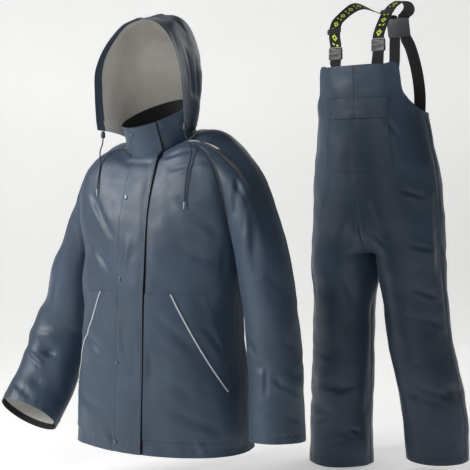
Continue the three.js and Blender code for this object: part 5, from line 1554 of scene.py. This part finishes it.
# the middle of each strap, and the way its width runs
FRONT_STRAPS = {
    "right": [
        [-67, BUCKLE_Y, 320, 1, 0, 0], [-67, BUCKLE_Y, 328, 1, 0, 0], [-73, -152, 350, 1, 0, 0],
        [-78, -142, 374, 1, 0, -0.1], [-81, -122, 400, 1, -0.1, -0.3], [-80, -92, 421, 0.9, -0.3, -0.5],
        [-77, -55, 443, 0.9, -0.3, -0.6], [-74, -15, 462, 1, 0, -0.7], [-70, 22, 470, 1, 0, -0.7],
        [-60, 60, 466, 1, 0.1, -0.6], [-43, 94, 457, 1, 0.2, -0.4], [-25, 117, 450, 1, 0.1, -0.2],
        on_patch(-15, 31, 1.6), on_patch(-15, 18), on_patch(-15, 4),
    ],
    "left": [
        [73, BUCKLE_Y, 336, 1, 0, 0], [73, BUCKLE_Y, 344, 1, 0, 0], [75, -146, 368, 1, 0, 0],
        [74, -122, 395, 1, 0, 0], [71, -92, 420, 1, 0, 0], [71, -52, 447, 1, 0, 0],
        [74, -8, 466, 1, 0, -0.1], [74, 38, 470, 1, 0, -0.2], [66, 78, 462, 1, -0.1, -0.2],
        [52, 104, 455, 1, -0.1, -0.1], [36, 120, 449, 1, 0, 0],
        on_patch(23, 31, 1.6), on_patch(23, 18), on_patch(23, 4),
    ],
}
BACK_STRAPS = {
    "right": [
        [-20, 80, 142, 1, 0, 0], [-11, 88, 190, 1, 0, 0], [-2, 104, 245, 1, 0, 0],
        [-2, 121, 300, 1, 0, 0], [-9, 138, 350, 1, 0, 0],
        on_patch(-15, -33, 1.2), on_patch(-15, -18), on_patch(-15, -4),
    ],
    "left": [
        [108, 68, 142, 1, 0.25, 0], [102, 82, 185, 1, 0.2, 0], [86, 104, 245, 1, 0.1, 0],
        [64, 124, 305, 1, 0.05, 0], [42, 140, 352, 1, 0, 0],
        on_patch(23, -33, 1.2), on_patch(23, -18), on_patch(23, -4),
    ],
}
SEWN_BACK_X = {"left": 110, "right": -24}
STRAP_SHARES = np.linspace(-0.5, 0.5, 7)


def strap_rows(places, count):
    """The strap's middles and widths along its places, as rows of seven points across."""
    path = smooth_path([p[:3] for p in places])
    widths = smooth_path([p[3:] for p in places])
    rows = []
    for t in np.linspace(0, 1, count + 1):
        run = unit(path(min(1, t + 0.002)) - path(max(0, t - 0.002)))
        wide = widths(t)
        wide = unit(wide - run * (wide @ run))
        rows.append([path(t) + wide * STRAP_WIDTH * s for s in STRAP_SHARES])
    return np.array(rows)


def sewn_rows(side, front, x):
    """The end of a strap that is sewn inside the trousers' top edge."""
    rows = []
    drop_to = 49 if front else 45
    for drop in np.linspace(0.7, 0.02, 9):
        row = []
        for share in STRAP_SHARES:
            target = x + STRAP_WIDTH * share
            top = front_top(np.array(0.15))[1] if front else 123.0
            z = top - drop * drop_to
            half = trunks(np.array(z))[2 if side == "left" else 1]
            v = float(across_inverse(abs(target) / half))
            level = trouser_point(side, front, custom_rows([z]), np.array([v, v + 0.01]))
            p = level[0, 0]
            middle = trunks(np.array(z))
            inward = unit(np.array([0, middle[4], 0]) - [p[0], p[1], 0])
            row.append([target, p[1], z] + inward * (2 + 0.8 + STRAP_THICK / 2 + 1.0))
        rows.append(row)
    return np.array(rows)


def make_strap(name, rows, node, figured, flip=False):
    # outer face half a thickness out, so that the wall straddles the middle as the solid does
    grid = rows + sheet_normals(rows, flip=flip) * (STRAP_THICK / 2 - 0.1)
    webbing = [FIGURED if figured else WEBBING, WEBBING]
    obj = shell(name, "trousers", grid, STRAP_THICK - 0.2, webbing, flip=flip)
    uv = obj.data.uv_layers["cloth"].data
    values = np.empty(len(uv) * 2, np.float32)
    uv.foreach_get("uv", values)
    values[0::2] -= STRAP_WIDTH / 2 * MM
    uv.foreach_set("uv", values)
    declare(obj, grid, [node])
    return obj


for side in ("left", "right"):
    x = BRACE_X[side]
    foot = BUCKLE_Z[side] - 18.3
    lower = [[[x + STRAP_WIDTH * s, y, z] for s in STRAP_SHARES]
             for y, z in ((BUCKLE_Y - 2, foot - 10), (BUCKLE_Y - 1, foot - 5), (BUCKLE_Y, foot))]
    front_rows = np.concatenate([sewn_rows(side, True, x), np.array(lower)])
    back_rows = np.concatenate([sewn_rows(side, False, SEWN_BACK_X[side]), strap_rows(BACK_STRAPS[side], 60)])
    upper = strap_rows(FRONT_STRAPS[side], 110)
    # rows that rise have their outer face to the front, and those behind to the back
    make_strap(f"lower_webbing_{side}", front_rows[::-1], f"brace_lower_strap_{side}", False)
    make_strap(f"upper_webbing_{side}", upper[::-1], f"brace_front_strap_{side}", True)
    make_strap(f"back_webbing_{side}", back_rows, f"brace_back_strap_{side}", True)

# ---- Hood cords ----

# the middle of each cord from its lock down to its tip, as in the solids, in metres
CORD_LINES = {
    "left": [
        (0.0736, -0.1336, 0.0437), (0.0747, -0.1351, 0.0350), (0.0764, -0.1375, 0.0267),
        (0.0798, -0.1422, 0.0199), (0.0832, -0.1470, 0.0133), (0.0863, -0.1513, 0.0062),
        (0.0887, -0.1547, -0.0016), (0.0901, -0.1562, -0.0103), (0.0903, -0.1575, -0.0190),
        (0.0893, -0.1588, -0.0278), (0.0876, -0.1605, -0.0363), (0.0853, -0.1629, -0.0445),
        (0.0830, -0.1654, -0.0528), (0.0813, -0.1675, -0.0613), (0.0799, -0.1694, -0.0698),
        (0.0788, -0.1710, -0.0785), (0.0779, -0.1725, -0.0872), (0.0770, -0.1738, -0.0959),
        (0.0762, -0.1749, -0.1047), (0.0755, -0.1759, -0.1135), (0.0749, -0.1768, -0.1223),
        (0.0742, -0.1776, -0.1312), (0.0736, -0.1785, -0.1400),
    ],
    "right": [
        (-0.1525, -0.0030, 0.0307), (-0.1533, -0.0042, 0.0219), (-0.1544, -0.0059, 0.0132),
        (-0.1567, -0.0094, 0.0053), (-0.1587, -0.0127, -0.0027), (-0.1594, -0.0146, -0.0114),
        (-0.1594, -0.0157, -0.0202), (-0.1584, -0.0156, -0.0291), (-0.1578, -0.0163, -0.0379),
        (-0.1583, -0.0188, -0.0465), (-0.1592, -0.0217, -0.0549), (-0.1602, -0.0246, -0.0632),
        (-0.1613, -0.0275, -0.0716), (-0.1622, -0.0300, -0.0801), (-0.1630, -0.0323, -0.0887),
        (-0.1636, -0.0345, -0.0973), (-0.1642, -0.0365, -0.1060),
    ],
}
CORD_WIDE = 0.0035
cords, cord_paths = {}, {}
for side, line in CORD_LINES.items():
    path = smooth_path(line)
    middles = np.array([path(t) for t in np.linspace(0, 1, 5 * len(line))])
    runs = unit(np.gradient(middles, axis=0))
    tube = []
    for k, (p, run) in enumerate(zip(middles, runs)):
        a = unit(np.cross(run, np.array([0.0, 1.0, 0.0])))
        b = np.cross(run, a)
        # two strands' relief shows as a shallow twist
        tube.append([
            p + (a * math.cos(w) + b * math.sin(w)) * CORD_WIDE / 2 * (1 - 0.05 * math.cos(2 * w + 0.9 * k))
            for w in np.linspace(0, 2 * math.pi, 15)[:-1]
        ])
    tube = np.array(tube)
    nv, nu = tube.shape[:2]
    faces = [(j * nu + i, (j + 1) * nu + i, (j + 1) * nu + (i + 1) % nu, j * nu + (i + 1) % nu)
             for j in range(nv - 1) for i in range(nu)]
    faces += [tuple(range(nu)), tuple((nv - 1) * nu + i for i in range(nu - 1, -1, -1))]
    run_down = np.concatenate([[0], np.cumsum(np.linalg.norm(np.diff(middles, axis=0), axis=1))])
    uv = []
    for face in faces:
        for k, v in enumerate(face):
            around = (v % nu) / nu * math.pi * CORD_WIDE
            if len(face) == 4 and k >= 2 and v % nu == 0:
                around = math.pi * CORD_WIDE
            uv.append((around, run_down[v // nu]))
    cord = new_mesh(f"hood_cord_{side}_braid", tube.reshape(-1, 3), faces, [0] * len(faces), [BRAID], uv)
    faced_outward(cord.data)
    cords[side] = cord
    third = middles[::3]
    cord_paths[side] = third if (len(middles) - 1) % 3 == 0 else np.concatenate([third, middles[-1:]])

# ---- Hard pieces ----


def only(obj):
    bpy.ops.object.select_all(action="DESELECT")
    obj.select_set(True)
    bpy.context.view_layer.objects.active = obj


def applied(obj):
    only(obj)
    bpy.ops.object.transform_apply(location=True, rotation=True, scale=True)
    return obj


def choose(obj, test):
    """In edit mode, selects just the faces whose middle and normal pass the test."""
    mesh = bmesh.from_edit_mesh(obj.data)
    for face in mesh.faces:
        face.select_set(False)
    for face in mesh.faces:
        if test(face.calc_center_median(), face.normal):
            face.select_set(True)
    mesh.select_flush_mode()
    bmesh.update_edit_mesh(obj.data)


def started(name, add, **sizes):
    bpy.ops.object.select_all(action="DESELECT")
    add(**sizes)
    obj = bpy.context.object
    obj.name = obj.data.name = name
    return obj


def bevelled(obj, width, segments=2):
    only(obj)
    modifier = obj.modifiers.new("soft_edge", "BEVEL")
    modifier.width = width
    modifier.segments = segments
    modifier.limit_method = "ANGLE"
    modifier.angle_limit = math.radians(32)
    bpy.ops.object.modifier_apply(modifier=modifier.name)
    bpy.ops.object.shade_smooth_by_angle(angle=math.radians(38))
    return obj


def joined(name, pieces):
    only(pieces[0])
    for piece in pieces[1:]:
        piece.select_set(True)
    bpy.ops.object.join()
    obj = bpy.context.object
    obj.name = obj.data.name = name
    return obj


def block(name, size, at=(0, 0, 0)):
    """A box in millimetres, standing in a piece's own frame: x across, y up it, z out of its face."""
    obj = started(name, bpy.ops.mesh.primitive_cube_add, size=1)
    obj.scale = [v * MM for v in size]
    obj.location = [v * MM for v in at]
    return applied(obj)


def barrel(name, radius, depth, sides=32, at=(0, 0, 0)):
    return started(
        name, bpy.ops.mesh.primitive_cylinder_add, vertices=sides, radius=radius * MM, depth=depth * MM,
        location=[v * MM for v in at],
    )


def in_edit(obj):
    only(obj)
    bpy.ops.object.mode_set(mode="EDIT")
    bpy.ops.mesh.select_mode(type="FACE")


def done_edit():
    bpy.ops.object.mode_set(mode="OBJECT")


def extruded(distance_mm, way=(0, 0, 1)):
    bpy.ops.mesh.extrude_region_move(
        TRANSFORM_OT_translate={"value": [w * distance_mm * MM for w in way]}
    )


def inset(thickness_mm):
    bpy.ops.mesh.inset(thickness=thickness_mm * MM)


def snap_model(name, radius, height):
    """A pressed cap: a rolled rim, a shoulder and a shallow dish in its crown."""
    obj = barrel(name, radius, height * 0.5, 36, (0, 0, height * 0.25))
    in_edit(obj)
    top = height * 0.5 * MM

    def crown(c, n):
        return n.z > 0.9 and c.z > top - 1e-6

    choose(obj, crown)
    inset(radius * 0.16)
    extruded(height * 0.36)
    inset(radius * 0.18)
    extruded(height * 0.14)
    inset(radius * 0.16)
    extruded(-height * 0.22)
    inset(radius * 0.22)
    extruded(height * 0.1)
    done_edit()
    return bevelled(applied(obj), 0.0003, 2)


def node_points(name):
    mesh = bpy.data.objects[name].data
    points = np.empty(len(mesh.vertices) * 3)
    mesh.vertices.foreach_get("co", points)
    return np.unique(points.reshape(-1, 3).round(6), axis=0)


def node_frame(name):
    """The middle of a CAD node, its shortest way and its longest way."""
    points = node_points(name)
    middle = points.mean(0)
    _, _, axes = np.linalg.svd(points - middle, full_matrices=False)
    order = np.argsort([np.ptp((points - middle) @ a) for a in axes])
    return middle, axes[order[0]], axes[order[2]]


def box_middle(node):
    low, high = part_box(node)
    return (np.array(low) + np.array(high)) / 2


def placed_copy(model, name, matrix):
    """A copy of a model with its own mesh, its place put into the mesh."""
    mesh = model.data.copy()
    mesh.name = name
    mesh.transform(matrix)
    return linked(name, mesh)


def basis(middle, x, y, z):
    return Matrix(((x[0], y[0], z[0], middle[0]), (x[1], y[1], z[1], middle[1]),
                   (x[2], y[2], z[2], middle[2]), (0, 0, 0, 1)))


def painted(obj, *materials):
    obj.data.materials.clear()
    for material in materials:
        obj.data.materials.append(material)


def standing(obj, slot, *nodes):
    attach(obj, "root")
    if nodes:
        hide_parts(*nodes)
    return obj


cap_model = snap_model("snap_cap", 6.5, 2.4)
painted(cap_model, ENAMEL)
rivet_model = snap_model("pocket_rivet", 4.5, 2.0)
painted(rivet_model, ENAMEL)


def set_cap(model, node, name, grid, garment, flip, outer_mm):
    """A cap at its node's place, seated on the worn sheet there, `outer_mm` from sheet to outer face."""
    middle = node_points(node).mean(0)
    sheet = world(grid, garment)
    near = np.linalg.norm(sheet - middle, axis=-1)
    where = np.unravel_index(np.argmin(near), near.shape)
    out = turned(sheet_normals(grid, flip=flip)[where], garment)
    seat = middle + out * ((sheet[where] - middle) @ out + outer_mm * MM)
    up = unit(np.array([0, 0, 1.0]) - out * out[2])
    return standing(placed_copy(model, name, basis(seat, np.cross(up, out), up, out)), "snap_metal", node)


for n in range(1, 6):
    set_cap(cap_model, f"jacket_flap_snap_{n}", f"flap_snap_cap_{n}", flap_body, "jacket", True, 3.0)
set_cap(cap_model, "jacket_collar_snap", "collar_snap_cap", worn_collar, "jacket", False, 0.1)
for side in ("left", "right"):
    set_cap(
        cap_model, f"trousers_flap_snap_{side}", f"chest_snap_cap_{side}", chest_flap_sheet, "trousers",
        False, 2.9,
    )
    set_cap(
        rivet_model, f"jacket_pocket_rivet_{side}", f"pocket_rivet_cap_{side}", front_sheets[side], "jacket",
        side == "right", 2.6,
    )


def buckle_model():
    """A side-release buckle: the receiver below with an inset panel on each side, the clip above with its
    strap bar.
    """
    receiver = block("receiver", (42, 19, 9.6), (0, -8.2, 0))
    in_edit(receiver)
    choose(receiver, lambda c, n: n.z > 0.9)
    inset(3.2)
    extruded(-1.1)
    choose(receiver, lambda c, n: abs(n.x) > 0.9 and abs(c.x) > 0.0205)
    inset(2.4)
    extruded(0)
    bpy.ops.transform.resize(value=(0.86, 0.9, 0.9))
    done_edit()
    bevelled(receiver, 0.0012, 3)
    prongs = []
    for sign in (-1, 1):
        prong = block("prong", (5, 14, 6.4), (sign * 17.6, -3.5, 0))
        in_edit(prong)
        choose(prong, lambda c, n: n.y < -0.9)
        bpy.ops.transform.resize(value=(0.6, 1, 0.7))
        bpy.ops.transform.translate(value=(-sign * 0.0012, 0, 0))
        done_edit()
        bevelled(prong, 0.0011, 2)
        prongs.append(prong)
    clip = block("clip", (42, 9.5, 8.2), (0, 7.6, 0))
    in_edit(clip)
    choose(clip, lambda c, n: n.z > 0.9)
    inset(2.0)
    extruded(-0.8)
    done_edit()
    bevelled(clip, 0.0012, 3)
    frame_parts = []
    for x in (-18.2, 18.2):
        post = block("post", (5.4, 8, 6.2), (x, 14, 0))
        frame_parts.append(bevelled(post, 0.0011, 2))
    bar = barrel("strap_bar", 2.3, 40, 20)
    bar.rotation_euler = (0, math.pi / 2, 0)
    bar.location = (0, 0.0158, 0)
    bevelled(applied(bar), 0.0006, 2)
    release = []
    for y in (-3.6, -6.2, -8.8):
        rib = block("grip_rib", (22, 1.3, 1.2), (0, y - 1, 4.1))
        release.append(bevelled(rib, 0.0004, 2))
    return joined("buckle_model", [receiver, clip, bar, *prongs, *frame_parts, *release])


buckle = buckle_model()
painted(buckle, ACETAL)
turn_x = turned(np.array([1.0, 0, 0]), "trousers")
turn_y = turned(np.array([0, 1.0, 0]), "trousers")
for side in ("left", "right"):
    middle = world((BRACE_X[side], BUCKLE_Y, BUCKLE_Z[side]), "trousers")
    matrix = basis(middle, turn_x, np.array([0, 0, 1.0]), -turn_y)
    standing(placed_copy(buckle, f"buckle_{side}", matrix), "buckle_plastic", f"brace_buckle_{side}")


def slider_model():
    """A tri-glide slider: a rounded frame with two slots and a ribbed middle bar."""
    rails = []
    for y, depth in ((-7.2, 3.6), (7.2, 3.6), (0, 3.0)):
        rail = block("rail", (40 if y else 38, 3.4 if y else 4.2, depth), (0, y, 0))
        in_edit(rail)
        choose(rail, lambda c, n: n.z > 0.9)
        inset(0.7)
        extruded(0.3)
        done_edit()
        rails.append(bevelled(rail, 0.0008, 3))
    for x in (-20, 20):
        side_rail = block("side_rail", (3.8, 17.6, 3.6), (x, 0, 0))
        rails.append(bevelled(side_rail, 0.0012, 3))
    return joined("slider_model", rails)


slider = slider_model()
painted(slider, ACETAL)
for side in ("left", "right"):
    node = f"brace_slider_{side}"
    middle, out, long_way = node_frame(node)
    if out @ turn_y > 0:
        out = -out
    across_it = long_way if long_way @ turn_x > 0 else -long_way
    up = np.cross(out, across_it)
    slider_place = basis(middle, across_it, up, out)
    standing(placed_copy(slider, f"strap_slider_{side}", slider_place), "buckle_plastic", node)


def patch_model():
    """The moulded back patch that joins the braces: a raised border round a shallow field."""
    obj = block("back_patch_model", (76, 60, 2.4))
    in_edit(obj)
    choose(obj, lambda c, n: n.z > 0.9)
    inset(4)
    extruded(-0.6)
    inset(1.2)
    extruded(0.4)
    bpy.ops.object.mode_set(mode="OBJECT")
    only(obj)
    corners = obj.modifiers.new("corners", "BEVEL")
    corners.width = 0.006
    corners.segments = 5
    corners.limit_method = "WEIGHT"
    weights = obj.data.attributes.new("bevel_weight_edge", "FLOAT", "EDGE")
    for edge in obj.data.edges:
        a, b = (obj.data.vertices[k].co for k in edge.vertices)
        weights.data[edge.index].value = float(
            abs(a.x - b.x) < 1e-6 and abs(a.y - b.y) < 1e-6 and abs(abs(a.x) - 0.038) < 1e-5
        )
    bpy.ops.object.modifier_apply(modifier=corners.name)
    return bevelled(obj, 0.0005, 2)


patch = patch_model()
painted(patch, ACETAL)
patch_up = turned(np.array([0, -PATCH_TILT, math.sqrt(1 - PATCH_TILT**2)]), "trousers")
patch_out = turned(np.array([0, math.sqrt(1 - PATCH_TILT**2), PATCH_TILT]), "trousers")
patch_at = world((4, PATCH_Y, PATCH_Z), "trousers")
standing(
    placed_copy(patch, "back_patch", basis(patch_at, np.cross(patch_up, patch_out), patch_up, patch_out)),
    "webbing", "brace_back_patch",
)


def lock_model():
    """A barrel cord lock: a body with three raised rings round it and a plunger above it with a sunken top."""
    body = barrel("lock_body", 5.8, 13, 32, (0, 0, -2.2))
    in_edit(body)
    choose(body, lambda c, n: abs(n.z) > 0.9)
    inset(0.9)
    bpy.ops.mesh.extrude_region_shrink_fatten(TRANSFORM_OT_shrink_fatten={"value": 0.0005})
    done_edit()
    bevelled(applied(body), 0.0007, 3)
    plunger = barrel("lock_plunger", 4.6, 4.8, 32, (0, 0, 6.4))
    in_edit(plunger)
    choose(plunger, lambda c, n: n.z > 0.9)
    inset(0.8)
    extruded(-0.7)
    done_edit()
    bevelled(applied(plunger), 0.0004, 2)
    pieces = [body, plunger]
    for z in (-7.4, -4.0, 1.0):
        ring = started(
            "lock_ring", bpy.ops.mesh.primitive_torus_add, major_radius=0.0056, minor_radius=0.00045,
            major_segments=32, minor_segments=8, location=(0, 0, z * MM),
        )
        pieces.append(applied(ring))
    return joined("cord_lock_model", pieces)


lock = lock_model()
painted(lock, ACETAL)


def tip_model():
    """A moulded cord end: a tapering barrel with a collar where it grips the cord."""
    tip = barrel("tip_body", 2.2, 18, 24)
    in_edit(tip)
    choose(tip, lambda c, n: n.z > 0.9)
    inset(0.4)
    extruded(-2.0)
    choose(tip, lambda c, n: n.z < -0.9)
    bpy.ops.transform.resize(value=(0.72, 0.72, 1))
    inset(0.3)
    done_edit()
    bevelled(applied(tip), 0.0004, 3)
    collar_ring = started(
        "tip_collar", bpy.ops.mesh.primitive_torus_add, major_radius=0.0020, minor_radius=0.00035,
        major_segments=24, minor_segments=8, location=(0, 0, 0.0062),
    )
    return joined("cord_tip_model", [tip, applied(collar_ring)])


tip = tip_model()
painted(tip, TIP)
for side in ("left", "right"):
    line = np.array(CORD_LINES[side])
    lock_node = f"hood_cord_lock_{side}"
    lock_place = Matrix.Translation(Vector(box_middle(lock_node)))
    standing(placed_copy(lock, f"cord_lock_{side}", lock_place), "buckle_plastic", lock_node)
    tip_node = f"hood_cord_tip_{side}"
    up = unit(line[-2] - line[-1])
    across_it = unit(np.cross(np.array([0, 1.0, 0]), up))
    tip_place = basis(box_middle(tip_node), across_it, np.cross(up, across_it), up)
    tip_piece = standing(placed_copy(tip, f"cord_tip_{side}", tip_place), "tip_plastic", tip_node)
    standing(cords[side], "cord", f"hood_cord_{side}")
    tuple(line[0])
    [tuple(p) for p in cord_paths[side]]

# ---- Zip ----

zip_q = np.concatenate([np.linspace(0, 1, 60), np.linspace(1, 2, 110)[1:]])
zip_collar_t = np.linspace(1, 0, 26)
left_neck = lean(neck_point(math.degrees(math.asin((LEFT_EDGE + 10) / 100))))


def zip_edge(neck_place, x):
    """One edge of the zip, from the collar's top down to the hem."""
    body = lean(body_point(zip_q, x + zip_drift(zip_q), True))
    return np.concatenate([collar_point(neck_place[None], zip_collar_t), body[1:]])


edge_left = zip_edge(left_neck, LEFT_EDGE)
edge_right = zip_edge(collar_base[-1], FLAP_SPAN[0])
tape = mix(edge_right[:, None], edge_left[:, None], np.linspace(0, 1, 7)[None, :, None])
tape_normal = sheet_normals(tape)
tape = tape - tape_normal * 1.0
zip_tape = shell("zip_tape", "jacket", tape, 0.9, [FACING, FACING])
declare(zip_tape, tape, ["jacket_zip"])

tooth_model = block("tooth", (3.6, 1.5, 1.5))
in_edit(tooth_model)
choose(tooth_model, lambda c, n: n.x > 0.9)
bpy.ops.transform.resize(value=(1, 0.55, 0.8))
done_edit()
bevelled(tooth_model, 0.0002, 1)
middle_line = tape[:, 3] + tape_normal[:, 3] * 1.2
line_run = np.concatenate([[0], np.cumsum(np.linalg.norm(np.diff(middle_line, axis=0), axis=1))])
TOOTH_PITCH = 3.0
tooth_verts = np.array([tuple(v.co) for v in tooth_model.data.vertices]) / MM
tooth_faces = [tuple(p.vertices) for p in tooth_model.data.polygons]
points, faces = [], []
for k, s in enumerate(np.arange(2.0, line_run[-1] - 2.0, TOOTH_PITCH / 2)):
    p = np.array([np.interp(s, line_run, middle_line[:, c]) for c in range(3)])
    p2 = np.array([np.interp(s + 1, line_run, middle_line[:, c]) for c in range(3)])
    n = unit(np.array([np.interp(s, line_run, tape_normal[:, 3, c]) for c in range(3)]))
    run = unit(p2 - p)
    side_way = unit(np.cross(run, n)) * (1 if k % 2 else -1)
    first = len(points)
    for v in tooth_verts:
        points.append(p + side_way * (v[0] - 1.2) + run * v[1] * 0.9 + n * v[2])
    faces += [tuple(first + i for i in face) for face in tooth_faces]
mesh = bpy.data.meshes.new("zip_teeth")
mesh.from_pydata([tuple(p) for p in world(np.array(points), "jacket")], [], faces)
faced_outward(mesh)
mesh.materials.append(TEETH)
standing(linked("zip_teeth", mesh), "zip")
bpy.data.objects.remove(tooth_model)

slider_body = block("zip_slider_body", (9, 12, 4.4), (0, 0, 0.5))
in_edit(slider_body)
choose(slider_body, lambda c, n: n.y < -0.9)
bpy.ops.transform.resize(value=(0.6, 1, 0.9))
choose(slider_body, lambda c, n: n.z > 0.9)
inset(1.6)
extruded(1.2)
done_edit()
bevelled(slider_body, 0.0008, 3)
pull_tab = block("zip_pull_tab", (6.2, 24, 1.8), (0, -13, 4.4))
in_edit(pull_tab)
choose(pull_tab, lambda c, n: n.z > 0.9)
inset(1.2)
extruded(-0.5)
choose(pull_tab, lambda c, n: n.y < -0.9)
bpy.ops.transform.resize(value=(1.35, 1, 1))
done_edit()
bevelled(pull_tab, 0.0006, 3)
pull_model = joined("zip_pull_model", [slider_body, pull_tab])
painted(pull_model, TEETH)
# the puller stands where the photograph shows it
spot = int(np.argmin(np.linalg.norm(in_photo(middle_line, "jacket")[0] - np.array([161, 152]), axis=-1)))
run = turned(unit(middle_line[spot - 1] - middle_line[spot + 1]), "jacket")
out = turned(tape_normal[spot, 3], "jacket")
out = unit(out - run * (out @ run))
seat = world(middle_line[spot] + tape_normal[spot, 3] * 1.2, "jacket")
standing(placed_copy(pull_model, "zip_pull", basis(seat, np.cross(run, out), run, out)), "zip")

for model in (cap_model, rivet_model, buckle, slider, patch, lock, tip, pull_model):
    bpy.data.objects.remove(model)

# ---- Floor and backdrop ----

backdrop_profile = [(-6.0, FLOOR_Z), (3.0, FLOOR_Z)]
backdrop_profile += [
    (3.0 + 1.6 * math.sin(a), FLOOR_Z + 1.6 * (1 - math.cos(a))) for a in np.linspace(0.1, math.pi / 2, 14)
]
backdrop_profile += [(4.6, FLOOR_Z + 6.0)]
floor_points = [(x, y, z) for y, z in backdrop_profile for x in (-7.0, 7.4)]
floor_faces = [(2 * k, 2 * k + 1, 2 * k + 3, 2 * k + 2) for k in range(len(backdrop_profile) - 1)]
floor_mesh = bpy.data.meshes.new("studio_floor")
floor_mesh.from_pydata(floor_points, [], floor_faces)
floor_mesh.polygons.foreach_set("use_smooth", np.ones(len(floor_faces), bool))
floor_paper, paper_tree, paper_bsdf = new_material("painted_studio_paper", 0.95, "f4f4f3")
paper_bsdf.inputs["Emission Color"].default_value = linear("f4f4f3")
paper_bsdf.inputs["Emission Strength"].default_value = 0.4
paper_place = add_node(paper_tree, "ShaderNodeTexCoord").outputs["Object"]
paper_cloud = noise_at(paper_tree, paper_place, 3.0)
coloured(paper_tree, paper_bsdf, paper_cloud, "f2f2f1", "f6f6f5", 0.3, 0.7)
floor_mesh.materials.append(floor_paper)
linked("studio_floor", floor_mesh)
